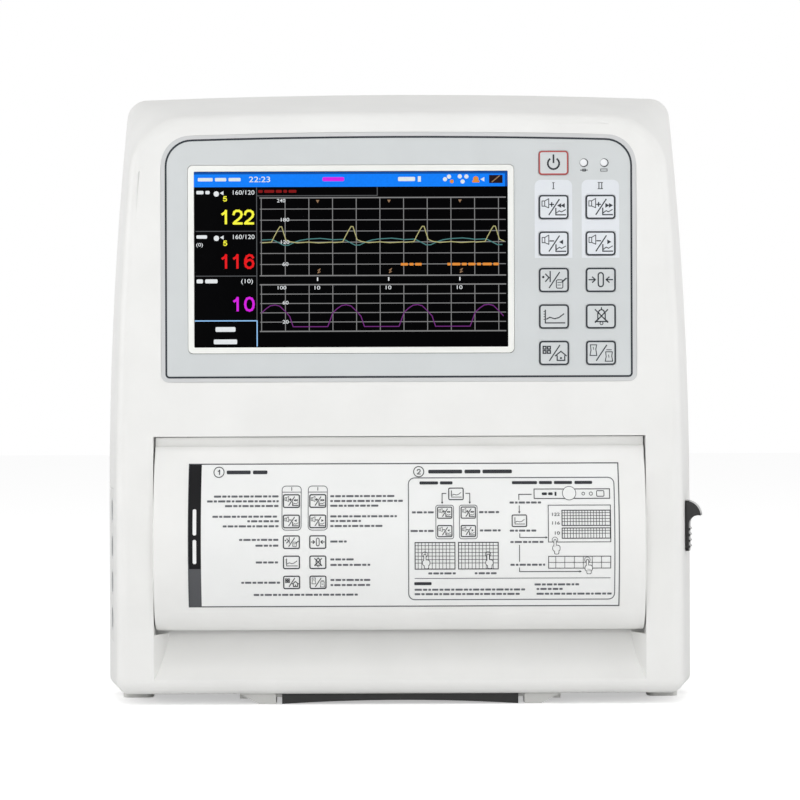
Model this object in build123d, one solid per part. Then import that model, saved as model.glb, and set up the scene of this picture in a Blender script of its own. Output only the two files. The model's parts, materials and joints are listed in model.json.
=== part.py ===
"""Bench cardiotocograph: a slim upright recorder with a 7 inch display, a
membrane keypad, a thermal chart printer behind a bulged front door, a side
latch for that door and a fold-out foot under the base.

Frame: +X to the right seen from the front, +Y to the rear, +Z up. The origin
lies on the support surface, under the middle of the housing. Millimetres.
"""

import math
import os

from build123d import *

os.makedirs("parts", exist_ok=True)

# Overall size and general fits
overall_width = 296.0
overall_height = 305.5
overall_depth = 92.5
door_proud = 9.25  # how far the door's bulge stands in front of the face
wall = 2.8
static_gap = 0.2  # between fixed pieces that sit in each other
running_gap = 0.06  # radial, between a pin and its hole
overrun = 5.0  # how far a cutting tool runs past what it cuts

front_y = -overall_depth / 2
face_y = front_y + door_proud
rear_y = overall_depth / 2
half_width = overall_width / 2
inner_face_y = face_y + wall
inner_rear_y = rear_y - wall

# Housing outline: narrow front face, widest at the seam, slightly smaller rear
seam_setback = 52.0  # from the front face back to the seam
seam_gap = 0.4
underside_z = 5.2
face_inset_side = 9.0
face_inset_top = 14.5
rear_inset = 4.0
side_straight_height = 93.0
side_bow_radius = 1950.0
top_bow_radius = 3370.0
face_top_corner = 31.0
face_bottom_corner = 7.5
seam_top_corner = 10.2
seam_bottom_corner = 4.5
rear_top_corner = 12.0
rear_bottom_corner = 6.0
face_edge_radius = 6.0
rear_edge_radius = 5.0
lip_height = 3.0
lip_thickness = 1.2

seam_y = face_y + seam_setback
rear_shell_y = seam_y + seam_gap
side_tangent_z = underside_z + side_straight_height
face_half = half_width - face_inset_side
draft = math.atan(face_inset_side / seam_setback)

# Control overlay: a thin sheet in a shallow recess of the face
overlay_half_width = 116.6
overlay_bottom_z = 158.8
overlay_height = 122.5
overlay_thickness = 0.5
overlay_top_corner = 16.7
overlay_bottom_corner = 4.0

# Display: white bezel ring, touch glass and LCD module
view_width = 154.1
view_height = 86.4
view_x = -23.4
view_above_overlay_bottom = 60.2
bezel_width = 2.9
bezel_proud = 0.5
bezel_depth = 4.5
bezel_corner = 2.4
bezel_ledge = 1.3  # width of the step that the glass lies against
glass_setback = 1.3
glass_thickness = 1.1
lcd_rim_width = 5.4
lcd_rim_height = 8.8
lcd_thickness = 4.4
bracket_margin = 5.0
bracket_thickness = 1.2
post_thin_radius = 2.5

view_z = overlay_bottom_z + view_above_overlay_bottom
bezel_front_y = face_y - bezel_proud
bezel_back_y = bezel_front_y + bezel_depth
glass_y = face_y + glass_setback
lcd_front_y = glass_y + glass_thickness
lcd_flange_y = max(bezel_back_y, inner_face_y)
lcd_back_y = lcd_flange_y + lcd_thickness
bracket_y = lcd_back_y
lcd_half_w = view_width / 2 + lcd_rim_width
lcd_half_h = view_height / 2 + lcd_rim_height
bracket_half_w = lcd_half_w + 2.0 * (post_thin_radius + static_gap)
bracket_half_h = lcd_half_h - bracket_margin / 2

# Keys: one power key above two columns of five
key_width = 14.5
key_height = 11.7
key_corner = 1.8
key_proud = 0.45
key_gap = 0.2
key_flange = 0.9
key_flange_thickness = 0.9
key_travel = 0.5
key_edge = 0.3
key_column_x = 76.1
key_column_pitch = 23.0
key_row_pitch = 17.9
key_top_above_overlay_bottom = 85.4
power_key_rise = 21.7
dome_radius = 3.0
dome_height = 0.9
dome_clearance = 0.25
led_radius = 1.75
led_rise = 0.1
led_first_x = 90.8
led_pitch = 10.0
keypad_margin = 4.0
board_thickness = 1.6
keypad_end_margin = 6.2

key_top_z = overlay_bottom_z + key_top_above_overlay_bottom
key_front_y = face_y - key_proud
key_flange_y = inner_face_y + static_gap
key_back_y = key_flange_y + key_flange_thickness
dome_front_y = key_back_y + key_travel + dome_clearance
keypad_y = dome_front_y + dome_height
KEYS = [("key_power", 0, -power_key_rise / key_row_pitch)]
KEY_NAMES = (
    ("volume_up_one", "volume_up_two"),
    ("volume_down_one", "volume_down_two"),
    ("event_mark", "zero"),
    ("trend", "alarm_mute"),
    ("home", "print"),
)
for row, names in enumerate(KEY_NAMES):
    for column, word in enumerate(names):
        KEYS.append((f"key_{word}", column, row))

# Door opening in the face, with a scooped ramp under the door
door_half_width = 120.2
door_side_gap = 0.7
aperture_top_z = 132.1
tube_depth = 17.0
scoop_top_z = 36.0
scoop_bottom_z = 12.4
scoop_hollow = 1.6  # how far the ramp is hollowed behind a straight line
scoop_lean = 6.4  # how far the ramp's side walls lean in at its back
scoop_side_drop = 1.5  # from the ramp's top down to its side walls

aperture_half = door_half_width + door_side_gap
tube_back_y = face_y + tube_depth

# Printer door: bulged panel with a rolled lower lip, cheeks and hinge pins
bulge_radius = 95.0
bulge_centre_z = 79.0
bulge_top_z = 127.2
bulge_bottom_z = 46.0
lip_radius = 15.0
lip_end_angle = 75.0
door_thickness = 2.6
ledge_step = 2.4
ledge_gap = 0.45
ledge_thickness = 2.0
ledge_drop = 4.0  # below the panel's upper edge
cheek_thickness = 2.5
hinge_y = -31.5
hinge_z = 45.0
hinge_boss_radius = 4.0
hinge_pin_radius = 2.0
hinge_pin_length = 1.9  # how far a pin stands out of the door's end
door_edge = 0.5
cheek_recess = 0.6
label_thickness = 0.2
label_gap = 0.1  # of adhesive between the door and the sheet
label_width = 211.0
label_height = 70.4
label_bottom_z = 48.6
label_x = 2.0

# Platen roller on the door, and the gears behind it
platen_z = 115.5
platen_radius = 6.5
platen_clearance = 1.36  # between the roller and the inside of the door
platen_half_length = 108.0
shaft_radius = 3.0
bush_wall = 1.8
bush_flange = 1.2
bush_slack = 0.3
platen_boss_radius = 6.4
gear_module = 0.7
platen_teeth = 16
idler_teeth = 34
pinion_teeth = 12
gear_width = 4.0
gear_side_gap = 0.3
mesh_slack = 0.14  # added to each centre distance
tooth_thinning = 0.12
pinion_angle = 25.0  # of the line from idler to pinion, above the horizontal
addendum_share = 0.9  # of the module
dedendum_share = 1.2  # of the module
pressure_angle = 20.0
stud_radius = 2.0
motor_radius = 12.5
motor_length = 18.0
motor_shaft_radius = 1.0

# Print head, its springs and the steel chassis that carries them
head_gap = 0.2
head_height = 18.0
ceramic_thickness = 2.0
sink_thickness = 7.0
sink_fin_depth = 4.0
fin_count = 5
head_spring_length = 5.0
head_spring_radius = 3.0
head_spring_wire = 0.45
head_spring_turns = 4
chassis_sheet = 1.5
chassis_bottom_z = 104.0
chassis_reach = 18.0  # of the end plates behind the platen gear's idler

platen_swing = bulge_radius - door_thickness - platen_clearance - platen_radius
platen_y = front_y + bulge_radius - math.sqrt(platen_swing**2 - (platen_z - bulge_centre_z) ** 2)
head_back_y = platen_y + platen_radius + head_gap + ceramic_thickness + sink_thickness
gear_low_x = -door_half_width + cheek_thickness + bush_flange + gear_side_gap
chassis_half = aperture_half + static_gap

# Paper tray behind the door
tray_half_width = 113.0
tray_back_y = 8.0
tray_bottom_z = 40.0
tray_top_z = 102.0
tray_wall = 2.0
tray_flange = 2.0

# Door latch on the right side
latch_y = -15.0
latch_bottom_z = 74.2
latch_height = 25.2
latch_width = 13.0
latch_plate = 1.7
latch_reach = 7.8
latch_head_height = 15.0
latch_rib_count = 4
latch_rib_pitch = 2.9
latch_rib_radius = 0.7
latch_travel = 6.0
latch_neck_width = 5.0
latch_neck_height = 7.0
latch_flange_margin = 2.5
latch_flange_thickness = 3.0
latch_corner = 1.6
latch_gap = 0.25
latch_beak_share = 0.5  # of the head's height, down to the beak
latch_foot_share = 0.85  # of the head's height, down to the hollow's end
latch_brow_share = 0.72
latch_drop_share = 0.16
keeper_y = -13.0
keeper_height = 6.0
keeper_thickness = 1.5
keeper_slot = 4.5

latch_spring_length = 12.0
latch_spring_turns = 8
latch_spring_wire = 0.35

latch_inner = -wall - latch_gap
keeper_z = latch_bottom_z + latch_height / 2

# Transducer sockets in a panel on the left side
socket_panel_y = -6.0
socket_panel_width = 24.0
socket_panel_bottom_z = 30.0
socket_panel_height = 76.0
socket_panel_thickness = 2.0
socket_panel_corner = 3.0
socket_count = 4
socket_pitch = 18.0
socket_bore_radius = 5.2
socket_bore_depth = 8.0
socket_wall = 1.3
socket_base_thickness = 2.4
contact_count = 6
contact_radius = 0.5
contact_length = 2.0
contact_circle_radius = 2.6

# Folding foot under the base
recess_half_width = 84.0
recess_height = 9.2
recess_front_setback = 5.6
foot_bar_setback = 7.0
foot_bar_depth = 12.0
foot_bar_height = 9.0
foot_half_width = 79.5
foot_flat_half_width = 69.5
foot_corner_rise = 5.2
foot_arm_width = 9.0
foot_arm_height = 7.0
foot_pivot_y = 38.0
foot_pivot_z = 9.6
foot_barrel_radius = 4.3
foot_pin_radius = 2.0
grip_half_width = 58.3
grip_arch = 1.8
grip_end_gap = 3.0
core_depth = 7.0
core_height = 4.6

# Rubber feet
pad_length = 13.0
pad_width = 15.0
pad_x = 132.5
pad_front_y = 0.0
pad_rear_inset = 8.0
pad_corner = 3.0
pad_seat = 0.8

# Screw posts that join the two shells
post_radius = 4.5
post_inset = 13.0
screw_radius = 1.5
screw_head_radius = 3.2
screw_head_height = 2.4
screw_bite = 9.0
post_low_z = 26.0
post_mid_z = 150.0
post_top_drop = 24.0

# Rear face: wall-plate inserts, battery bay, sockets for leads, speaker
plate_spacing = 75.0
plate_centre_z = 190.0
insert_radius = 3.0
insert_bore = 1.65
insert_length = 7.0
insert_boss_radius = 5.0
battery_width = 100.0
battery_height = 54.0
battery_thickness = 20.0
battery_x = -8.0
battery_bottom_z = 52.0
battery_corner = 3.0
battery_gap = 0.5
cover_margin = 9.0
cover_thickness = 2.0
cover_screw_radius = 2.2
cover_head_height = 1.2
io_width = 96.0
io_height = 16.0
io_bottom_z = 21.0
io_panel_thickness = 1.4
io_ledge = 1.2
io_board_depth = 26.0
lan_width = 15.9
lan_height = 13.4
lan_length = 17.0
lan_mouth_width = 11.7
lan_mouth_height = 8.2
usb_width = 13.2
usb_height = 5.8
usb_length = 14.0
usb_wall = 0.4
usb_tongue = 1.9
dc_width = 9.6
dc_height = 11.0
dc_length = 14.0
dc_mouth_radius = 3.2
dc_pin_radius = 1.0
port_inset = 12.0
screw_head_y = rear_y - screw_head_height - cover_thickness
battery_front_y = rear_y - cover_thickness - battery_thickness - battery_gap
speaker_x = 92.0
speaker_z = 244.0
speaker_radius = 20.0
speaker_depth = 12.0
speaker_rim = 3.0
speaker_magnet_share = 0.55
grille_slot_width = 2.2
grille_slot_pitch = 4.6
grille_slot_count = 7

# Boards behind the display
main_board_width = 150.0
main_board_height = 100.0
MAIN_CHIP_SHARES = (
    (-0.22, 0.1, 0.16), (0.12, 0.16, 0.12), (0.1, -0.2, 0.1), (0.36, -0.1, 0.08), (-0.3, -0.26, 0.1)
)
standoff_length = 13.0
standoff_radius = 2.6
chip_height = 2.2

main_board_y = bracket_y + bracket_thickness + standoff_length


def slab(profile, y_front, y_back):
    """A front-view profile (x, z) made solid from y_front to y_back."""
    plane = Plane((0, y_back, 0), x_dir=(1, 0, 0), z_dir=(0, -1, 0))
    return extrude(plane * profile, amount=y_back - y_front)


def side_prism(profile, x_low, x_high):
    """A side-view profile (y, z) made solid from x_low to x_high."""
    plane = Plane((x_low, 0, 0), x_dir=(0, 1, 0), z_dir=(1, 0, 0))
    return extrude(plane * profile, amount=x_high - x_low)


def block(x_low, x_high, y_low, y_high, z_low, z_high):
    """A plain box between six planes."""
    size = (x_high - x_low, y_high - y_low, z_high - z_low)
    return Pos(x_low, y_low, z_low) * Box(*size, align=(Align.MIN,) * 3)


def rod_x(y, z, radius, x_low, x_high):
    """A cylinder along X."""
    return side_prism(Pos(y, z) * Circle(radius), x_low, x_high)


def rod_y(x, z, radius, y_low, y_high):
    """A cylinder along Y."""
    return slab(Pos(x, z) * Circle(radius), y_low, y_high)


def rounded(x, z, width, height, radius):
    """A rounded rectangle in the front view, by its centre and size."""
    return Pos(x, z) * RectangleRounded(width, height, radius)


def side_x(half, z):
    """Half width of a bowed outline at height z."""
    rise = max(z - side_tangent_z, 0.0)
    return half - side_bow_radius + math.sqrt(side_bow_radius**2 - rise**2)


def outline(half, top, top_corner, bottom_corner, inset=0.0):
    """Front-view outline of the housing: straight base, bowed sides and top."""
    half, top, base = half - inset, top - inset, underside_z + inset
    x, z = half, top
    for _ in range(12):
        x = side_x(half, z)
        z = top - top_bow_radius + math.sqrt(top_bow_radius**2 - x**2)
    mid_z = (side_tangent_z + z) / 2
    mid_x = side_x(half, mid_z)
    path = Line((-half, base), (half, base))
    path += Line((half, base), (half, side_tangent_z))
    path += ThreePointArc((half, side_tangent_z), (mid_x, mid_z), (x, z))
    path += ThreePointArc((x, z), (0, top), (-x, z))
    path += ThreePointArc((-x, z), (-mid_x, mid_z), (-half, side_tangent_z))
    path += Line((-half, side_tangent_z), (-half, base))
    face = make_face(path)
    rows = face.vertices().group_by(Axis.Y)
    face = fillet(rows[-1], top_corner - inset)
    return fillet(face.vertices().group_by(Axis.Y)[0], bottom_corner - inset)


def blend_outline(y, inset):
    """The housing's outline at depth y, drawn in by inset."""
    top = overall_height
    if y <= seam_y:
        share = (y - face_y) / seam_setback
        low = (face_half, top - face_inset_top, face_top_corner, face_bottom_corner)
        high = (half_width, top, seam_top_corner, seam_bottom_corner)
    else:
        share = (y - seam_y) / (rear_y - seam_y)
        low = (half_width, top, seam_top_corner, seam_bottom_corner)
        high = (half_width - rear_inset, top - rear_inset, rear_top_corner, rear_bottom_corner)
    return outline(*(a + (b - a) * share for a, b in zip(low, high)), inset)


def at_depth(profile, y):
    """Puts a front-view profile at depth y."""
    return (Plane((0, y, 0), x_dir=(1, 0, 0), z_dir=(0, -1, 0)) * profile).face()


def shell_loft(y_front, y_back, inset):
    """A ruled solid of the housing's outline between two depths."""
    ends = [at_depth(blend_outline(y, inset), y) for y in (y_front, y_back)]
    return loft(ends, ruled=True)


def overlay_outline(inset=0.0):
    """Outline of the control overlay: bowed top, larger upper corners."""
    half = overlay_half_width - inset
    base = overlay_bottom_z + inset
    top = overlay_bottom_z + overlay_height - inset
    edge = top - top_bow_radius + math.sqrt(top_bow_radius**2 - half**2)
    path = Line((-half, base), (half, base))
    path += Line((half, base), (half, edge))
    path += ThreePointArc((half, edge), (0, top), (-half, edge))
    path += Line((-half, edge), (-half, base))
    face = make_face(path)
    face = fillet(face.vertices().group_by(Axis.Y)[-1], overlay_top_corner - inset)
    return fillet(face.vertices().group_by(Axis.Y)[0], overlay_bottom_corner - inset)


def side_plane(side, y, z):
    """The outer plane of a side wall's straight part, normal outwards."""
    x = side * (face_half + (y - face_y) * math.tan(draft))
    normal = (side * math.cos(draft), -math.sin(draft), 0)
    along = (math.sin(draft), side * math.cos(draft), 0)
    return Plane((x, y, z), x_dir=along, z_dir=normal)


def key_place(column, row):
    """Centre of a key in the front view."""
    return key_column_x + column * key_column_pitch, key_top_z - row * key_row_pitch


def post_places():
    """Where the shells' screw posts stand in the front view."""
    top_z = overall_height - face_inset_top - post_top_drop
    for z in (post_low_z, post_mid_z, top_z):
        x = side_x(face_half, z) - post_inset + wall
        yield -x, z
        yield x, z


def bay_solid(grow):
    """The space behind the door, above a hollowed ramp, grown outwards."""
    top = aperture_top_z + grow
    half = aperture_half + grow
    low = scoop_bottom_z - grow
    high = scoop_top_z - grow
    run = overrun if grow == 0 else 0
    mid = ((tube_back_y + face_y) / 2 + scoop_hollow, (high + low) / 2 - scoop_hollow)
    slope = (high - low) / tube_depth
    path = ThreePointArc((tube_back_y, high), mid, (face_y, low))
    path += Line((tube_back_y + run, top), (face_y - run, top))
    path += Line((tube_back_y + run, top), (tube_back_y + run, high))
    if run:
        path += Line((tube_back_y + run, high), (tube_back_y, high))
        path += Line((face_y, low), (face_y - run, low - run * slope))
    path += Line((face_y - run, low - run * slope), (face_y - run, top))
    body = side_prism(make_face(path), -half, half)
    foot = low - overrun * slope
    back = tube_back_y + overrun
    reach = scoop_lean * (back - face_y) / tube_depth
    for side in (-1, 1):
        edge, outer = side * half, side * (half + overrun)
        plan = Polyline(
            (edge, face_y), (outer, face_y), (outer, back), (side * (half - reach), back), close=True
        )
        wall_cut = Pos(0, 0, foot) * make_face(plan)
        body -= extrude(wall_cut, amount=high - scoop_side_drop - foot, dir=(0, 0, 1))
    return body


def bulge_centre():
    """Centre of the door's bulge in the side view."""
    return face_y - door_proud + bulge_radius, bulge_centre_z


def bulge_point(radius, z):
    """Point of a circle about the bulge's centre at height z, front side."""
    y, centre_z = bulge_centre()
    return y - math.sqrt(radius**2 - (z - centre_z) ** 2), z


def door_skin_profile():
    """Side view of the bulged panel with its rolled lower lip."""
    centre_y, centre_z = bulge_centre()
    low_y, low_z = bulge_point(bulge_radius, bulge_bottom_z)
    start = math.atan2(low_z - centre_z, low_y - centre_y)
    reach = (bulge_radius - lip_radius) / bulge_radius
    lip_y = centre_y + (low_y - centre_y) * reach
    lip_z = centre_z + (low_z - centre_z) * reach
    turn = math.radians(lip_end_angle)
    rows = []
    for depth in (0, door_thickness):
        radius = lip_radius - depth
        share = (bulge_radius - depth) / bulge_radius
        low = (centre_y + (low_y - centre_y) * share, centre_z + (low_z - centre_z) * share)
        mid, end = (
            (lip_y + radius * math.cos(start + angle), lip_z + radius * math.sin(start + angle))
            for angle in (turn / 2, turn)
        )
        rows.append((bulge_point(bulge_radius - depth, bulge_top_z), low, mid, end, depth))
    (top, low, mid, end, _), (top_in, low_in, mid_in, end_in, depth) = rows
    path = ThreePointArc(top, bulge_point(bulge_radius, bulge_centre_z), low)
    path += ThreePointArc(low, mid, end)
    path += Line(end, end_in)
    path += ThreePointArc(end_in, mid_in, low_in)
    path += ThreePointArc(low_in, bulge_point(bulge_radius - depth, bulge_centre_z), top_in)
    path += Line(top_in, top)
    return make_face(path)


def recess_cut(grow=0.0, y_low=None):
    """Pocket in the underside for the folding foot, grown outwards."""
    front = face_y + recess_front_setback - grow if y_low is None else y_low
    half = recess_half_width + grow
    pocket = block(-half, half, front, rear_y + overrun, underside_z - overrun, recess_height + grow)
    notch_top = 2.0 * foot_pivot_z + wall / 2 + grow
    notch_front = foot_pivot_y - foot_barrel_radius - bezel_proud - grow
    low_x = foot_flat_half_width - bezel_proud - grow
    for side in (-1, 1):
        ends = sorted((side * low_x, side * half))
        pocket += block(*ends, notch_front, rear_y + overrun, underside_z - overrun, notch_top)
    return pocket


def pad_places():
    """Front edges and sides of the rubber pads."""
    for y in (pad_front_y, rear_y - pad_rear_inset - pad_length):
        for side in (-1, 1):
            yield side * pad_x, y


def pad_block(z_low, z_high, grow=0.0):
    """The four rubber pads between two heights, as one compound."""
    pads = Part()
    for x, y in pad_places():
        plan = RectangleRounded(pad_width + 2.0 * grow, pad_length + 2.0 * grow, pad_corner + grow)
        pads += extrude(Pos(x, y + pad_length / 2, z_low) * plan, amount=z_high - z_low)
    return pads


def lcd_post_places():
    """Posts that carry the display bracket."""
    for side in (-1, 1):
        for level in (-1, 1):
            x = view_x + side * (bracket_half_w - post_thin_radius)
            yield x, view_z + level * (bracket_half_h - wall * 2.0)


def keypad_box():
    """Edges of the keypad board in the front view: x low, x high, z low, z high."""
    x_low = key_column_x - key_width / 2 - keypad_margin
    x_high = key_column_x + key_column_pitch + key_width / 2 + keypad_margin
    z_low = key_top_z - (len(KEY_NAMES) - 1) * key_row_pitch - key_height / 2 - keypad_end_margin
    z_high = key_top_z + power_key_rise + key_height / 2 + keypad_end_margin
    return x_low, x_high, z_low, z_high


def keypad_posts():
    """Posts at the corners of the keypad board."""
    x_low, x_high, z_low, z_high = keypad_box()
    for x in (x_low + post_thin_radius, x_high - post_thin_radius):
        for z in (z_low + post_thin_radius, z_high - post_thin_radius):
            yield x, z


def led_places():
    """Centres of the two indicators."""
    z = key_top_z + power_key_rise + led_rise
    return [(led_first_x + index * led_pitch, z) for index in range(2)]


def latch_plane():
    """The outer side wall under the latch: x to the rear, y up."""
    return side_plane(1, latch_y, latch_bottom_z)


def latch_slot(margin):
    """Opening for the latch's neck, long enough for its travel."""
    height = latch_neck_height + latch_travel + 2.0 * margin
    centre = latch_height / 2 + latch_travel / 2
    shape = Pos(0, centre) * Rectangle(latch_neck_width + 2.0 * margin, height)
    return extrude(latch_plane() * shape, amount=wall * 2.0, both=True)


def latch_spring_base():
    """Height of the latch flange's upper edge over the latch's foot."""
    return latch_height / 2 + latch_neck_height / 2 + latch_flange_margin


def socket_plane():
    """The outer side wall in the middle of the socket panel."""
    return side_plane(-1, socket_panel_y, socket_panel_bottom_z + socket_panel_height / 2)


def socket_rows():
    """Heights of the transducer sockets about the panel's middle."""
    return [(index - (socket_count - 1) / 2) * socket_pitch for index in range(socket_count)]


def on_plane(plane, shape, low, high):
    """A profile on a plane made solid between two heights over it."""
    return extrude(plane.offset(low) * shape, amount=high - low)


def socket_depth():
    """How far a socket's body reaches behind the panel's outer face."""
    return socket_bore_depth + socket_base_thickness


def front_housing():
    """Front shell: face, bowed walls, door bay with its ramp, posts and slots."""
    outer = shell_loft(face_y, seam_y, 0.0)
    outer = fillet(outer.edges().group_by(Axis.Y)[0], face_edge_radius)
    shell = outer - shell_loft(inner_face_y, seam_y, wall)
    shell += shell_loft(seam_y, seam_y + lip_height, wall - lip_thickness) - shell_loft(
        seam_y, seam_y + lip_height, wall
    )
    shell += bay_solid(wall) & outer
    shell += recess_cut(wall, face_y + recess_front_setback - wall) & shell_loft(
        face_y + wall / 2, seam_y, wall / 2
    )
    shell -= bay_solid(0)
    shell -= recess_cut()
    for x, z in post_places():
        shell += rod_y(x, z, post_radius, inner_face_y - wall / 2, seam_y)
        shell -= rod_y(x, z, screw_radius, seam_y - screw_bite, seam_y + overrun)
    for x, z in lcd_post_places():
        shell += rod_y(x, z, post_thin_radius, inner_face_y - wall / 2, bracket_y)
    for x, z in keypad_posts():
        shell += rod_y(x, z, post_thin_radius, inner_face_y - wall / 2, keypad_y)
    shell -= slab(overlay_outline(-static_gap), face_y - overrun, face_y + overlay_thickness)
    window = rounded(
        view_x,
        view_z,
        view_width + 2.0 * (bezel_width + static_gap),
        view_height + 2.0 * (bezel_width + static_gap),
        bezel_corner,
    )
    shell -= slab(window, face_y - overrun, inner_face_y + overrun)
    for _, column, row in KEYS:
        hole = rounded(
            *key_place(column, row), key_width + 2.0 * key_gap, key_height + 2.0 * key_gap, key_corner
        )
        shell -= slab(hole, face_y - overrun, inner_face_y + overlay_thickness)
    for x, z in led_places():
        shell -= rod_y(x, z, led_radius + running_gap, face_y - overrun, inner_face_y + overlay_thickness)
    stop_low = latch_spring_base() + latch_spring_length
    stop = Pos(0, stop_low + wall / 2) * Rectangle(latch_neck_width, wall)
    shell += on_plane(latch_plane(), stop, latch_inner - latch_flange_thickness, -wall / 2)
    shell -= latch_slot(latch_gap)
    panel = RectangleRounded(
        socket_panel_width + 2.0 * static_gap, socket_panel_height + 2.0 * static_gap, socket_panel_corner
    )
    shell -= on_plane(socket_plane(), panel, -socket_panel_thickness, overrun)
    for z in socket_rows():
        hole = Pos(0, z) * Circle(socket_bore_radius + socket_wall + running_gap)
        shell -= on_plane(socket_plane(), hole, -socket_depth() - overrun, overrun)
    shell -= rod_x(
        hinge_y,
        hinge_z,
        hinge_pin_radius + running_gap,
        -aperture_half - wall / 2 - running_gap,
        -aperture_half + overrun,
    )
    shell -= rod_x(
        hinge_y,
        hinge_z,
        hinge_pin_radius + running_gap,
        aperture_half - overrun,
        aperture_half + wall / 2 + running_gap,
    )
    for x, y in pad_places():
        if y < seam_y:
            plan = RectangleRounded(pad_width + static_gap, pad_length + static_gap, pad_corner)
            shell -= extrude(
                Pos(x, y + pad_length / 2, underside_z - overrun) * plan, amount=overrun + pad_seat
            )
    return shell


def battery_edges(grow=0.0):
    """Edges of the battery bay in the front view, grown outwards."""
    x_low = battery_x - battery_width / 2 - grow
    x_high = x_low + battery_width + 2.0 * grow
    return x_low, x_high, battery_bottom_z - grow, battery_bottom_z + battery_height + grow


def battery_bay(grow):
    """Space of the battery, open to the rear, grown outwards."""
    x_low, x_high, z_low, z_high = battery_edges(battery_gap + grow)
    return block(x_low, x_high, battery_front_y - grow, rear_y + overrun, z_low, z_high)


def insert_places():
    """The four corners of the wall-plate pattern."""
    for x in (-plate_spacing / 2, plate_spacing / 2):
        for z in (-plate_spacing / 2, plate_spacing / 2):
            yield x, plate_centre_z + z


def grille_slots():
    """Slots in front of the speaker, longest in the middle."""
    slots = Part()
    for index in range(grille_slot_count):
        z = (index - (grille_slot_count - 1) / 2) * grille_slot_pitch
        length = 2.0 * math.sqrt((speaker_radius - wall) ** 2 - z**2)
        slot = Pos(speaker_x, speaker_z + z) * SlotOverall(length, grille_slot_width)
        slots += slab(slot, inner_rear_y - overrun, rear_y + overrun)
    return slots


def cover_profile(grow=0.0):
    """Outline of the battery cover."""
    width = battery_width + 2.0 * (cover_margin + grow)
    height = battery_height + 2.0 * (cover_margin + grow)
    return rounded(battery_x, battery_bottom_z + battery_height / 2, width, height, battery_corner)


def cover_screw_places():
    """Screws at the ends of the battery cover."""
    x = battery_width / 2 + cover_margin / 2
    z = battery_bottom_z + battery_height / 2
    return [(battery_x - x, z), (battery_x + x, z)]


def rear_housing():
    """Rear shell: battery bay, insert bosses, lead panel, grille and pivots."""
    outer = shell_loft(rear_shell_y, rear_y, 0.0)
    outer = fillet(outer.edges().group_by(Axis.Y)[-1], rear_edge_radius)
    shell = outer - shell_loft(rear_shell_y, inner_rear_y, wall)
    inside = shell_loft(rear_shell_y, rear_y - wall / 2, wall / 2)
    shell += recess_cut(wall, rear_shell_y) & inside
    shell += battery_bay(wall) & inside
    for x, z in insert_places():
        shell += rod_y(x, z, insert_boss_radius, rear_y - insert_length - wall, rear_y - wall / 2)
        shell -= rod_y(x, z, insert_radius, rear_y - insert_length, rear_y + overrun)
    for x, z in post_places():
        shell += rod_y(x, z, post_radius, rear_shell_y, rear_y - wall / 2)
        shell -= rod_y(x, z, screw_radius + static_gap, rear_shell_y - overrun, rear_y)
        shell -= rod_y(x, z, screw_head_radius + static_gap, screw_head_y, rear_y + overrun)
    end_y = rear_shell_y + lip_height + static_gap
    groove = shell_loft(rear_shell_y, end_y, wall - lip_thickness - static_gap)
    shell -= groove - shell_loft(rear_shell_y, end_y, wall + static_gap)
    shell -= recess_cut()
    shell -= battery_bay(0.0)
    shell -= slab(cover_profile(static_gap), rear_y - cover_thickness, rear_y + overrun)
    for x, z in cover_screw_places():
        shell += rod_y(
            x, z, cover_screw_radius + wall / 2, rear_y - insert_length - wall, rear_y - cover_thickness
        )
        shell -= rod_y(x, z, screw_radius, rear_y - insert_length, rear_y)
    shell -= grille_slots()
    half = io_width / 2 + static_gap
    shell -= block(
        -half,
        half,
        rear_y - io_panel_thickness,
        rear_y + overrun,
        io_bottom_z - static_gap,
        io_bottom_z + io_height + static_gap,
    )
    half = io_width / 2 - wall
    shell -= block(
        -half,
        half,
        inner_rear_y - overrun,
        rear_y,
        io_bottom_z + io_ledge,
        io_bottom_z + io_height - io_ledge,
    )
    for side in (-1, 1):
        low, high = sorted(
            (side * (foot_half_width - foot_arm_width - wall), side * (recess_half_width + wall / 2))
        )
        shell -= rod_x(foot_pivot_y, foot_pivot_z, foot_pin_radius, low, high)
    for x, y in pad_places():
        if y > seam_y:
            plan = RectangleRounded(pad_width + static_gap, pad_length + static_gap, pad_corner)
            shell -= extrude(
                Pos(x, y + pad_length / 2, underside_z - overrun) * plan, amount=overrun + pad_seat
            )
    return shell


def housing_screws():
    """Screws of the shells and of the battery cover, driven from the rear."""
    screws = Part()
    for x, z in post_places():
        screws += rod_y(x, z, screw_radius, seam_y - screw_bite, screw_head_y)
        screws += rod_y(x, z, screw_head_radius, screw_head_y, screw_head_y + screw_head_height)
    for x, z in cover_screw_places():
        screws += rod_y(x, z, screw_radius, rear_y - insert_length, rear_y)
        screws += rod_y(x, z, cover_screw_radius, rear_y, rear_y + cover_head_height)
    return screws


def control_overlay():
    """Thin control sheet with cut-outs for display, keys and indicators."""
    sheet = slab(overlay_outline(), face_y, face_y + overlay_thickness)
    window = rounded(
        view_x,
        view_z,
        view_width + 2.0 * (bezel_width + static_gap),
        view_height + 2.0 * (bezel_width + static_gap),
        bezel_corner,
    )
    cuts = [slab(window, face_y - overrun, face_y + overrun)]
    for _, column, row in KEYS:
        hole = rounded(
            *key_place(column, row), key_width + 2.0 * key_gap, key_height + 2.0 * key_gap, key_corner
        )
        cuts.append(slab(hole, face_y - overrun, face_y + overrun))
    for x, z in led_places():
        cuts.append(rod_y(x, z, led_radius + running_gap, face_y - overrun, face_y + overrun))
    for cut in cuts:
        sheet -= cut
    return sheet


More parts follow.
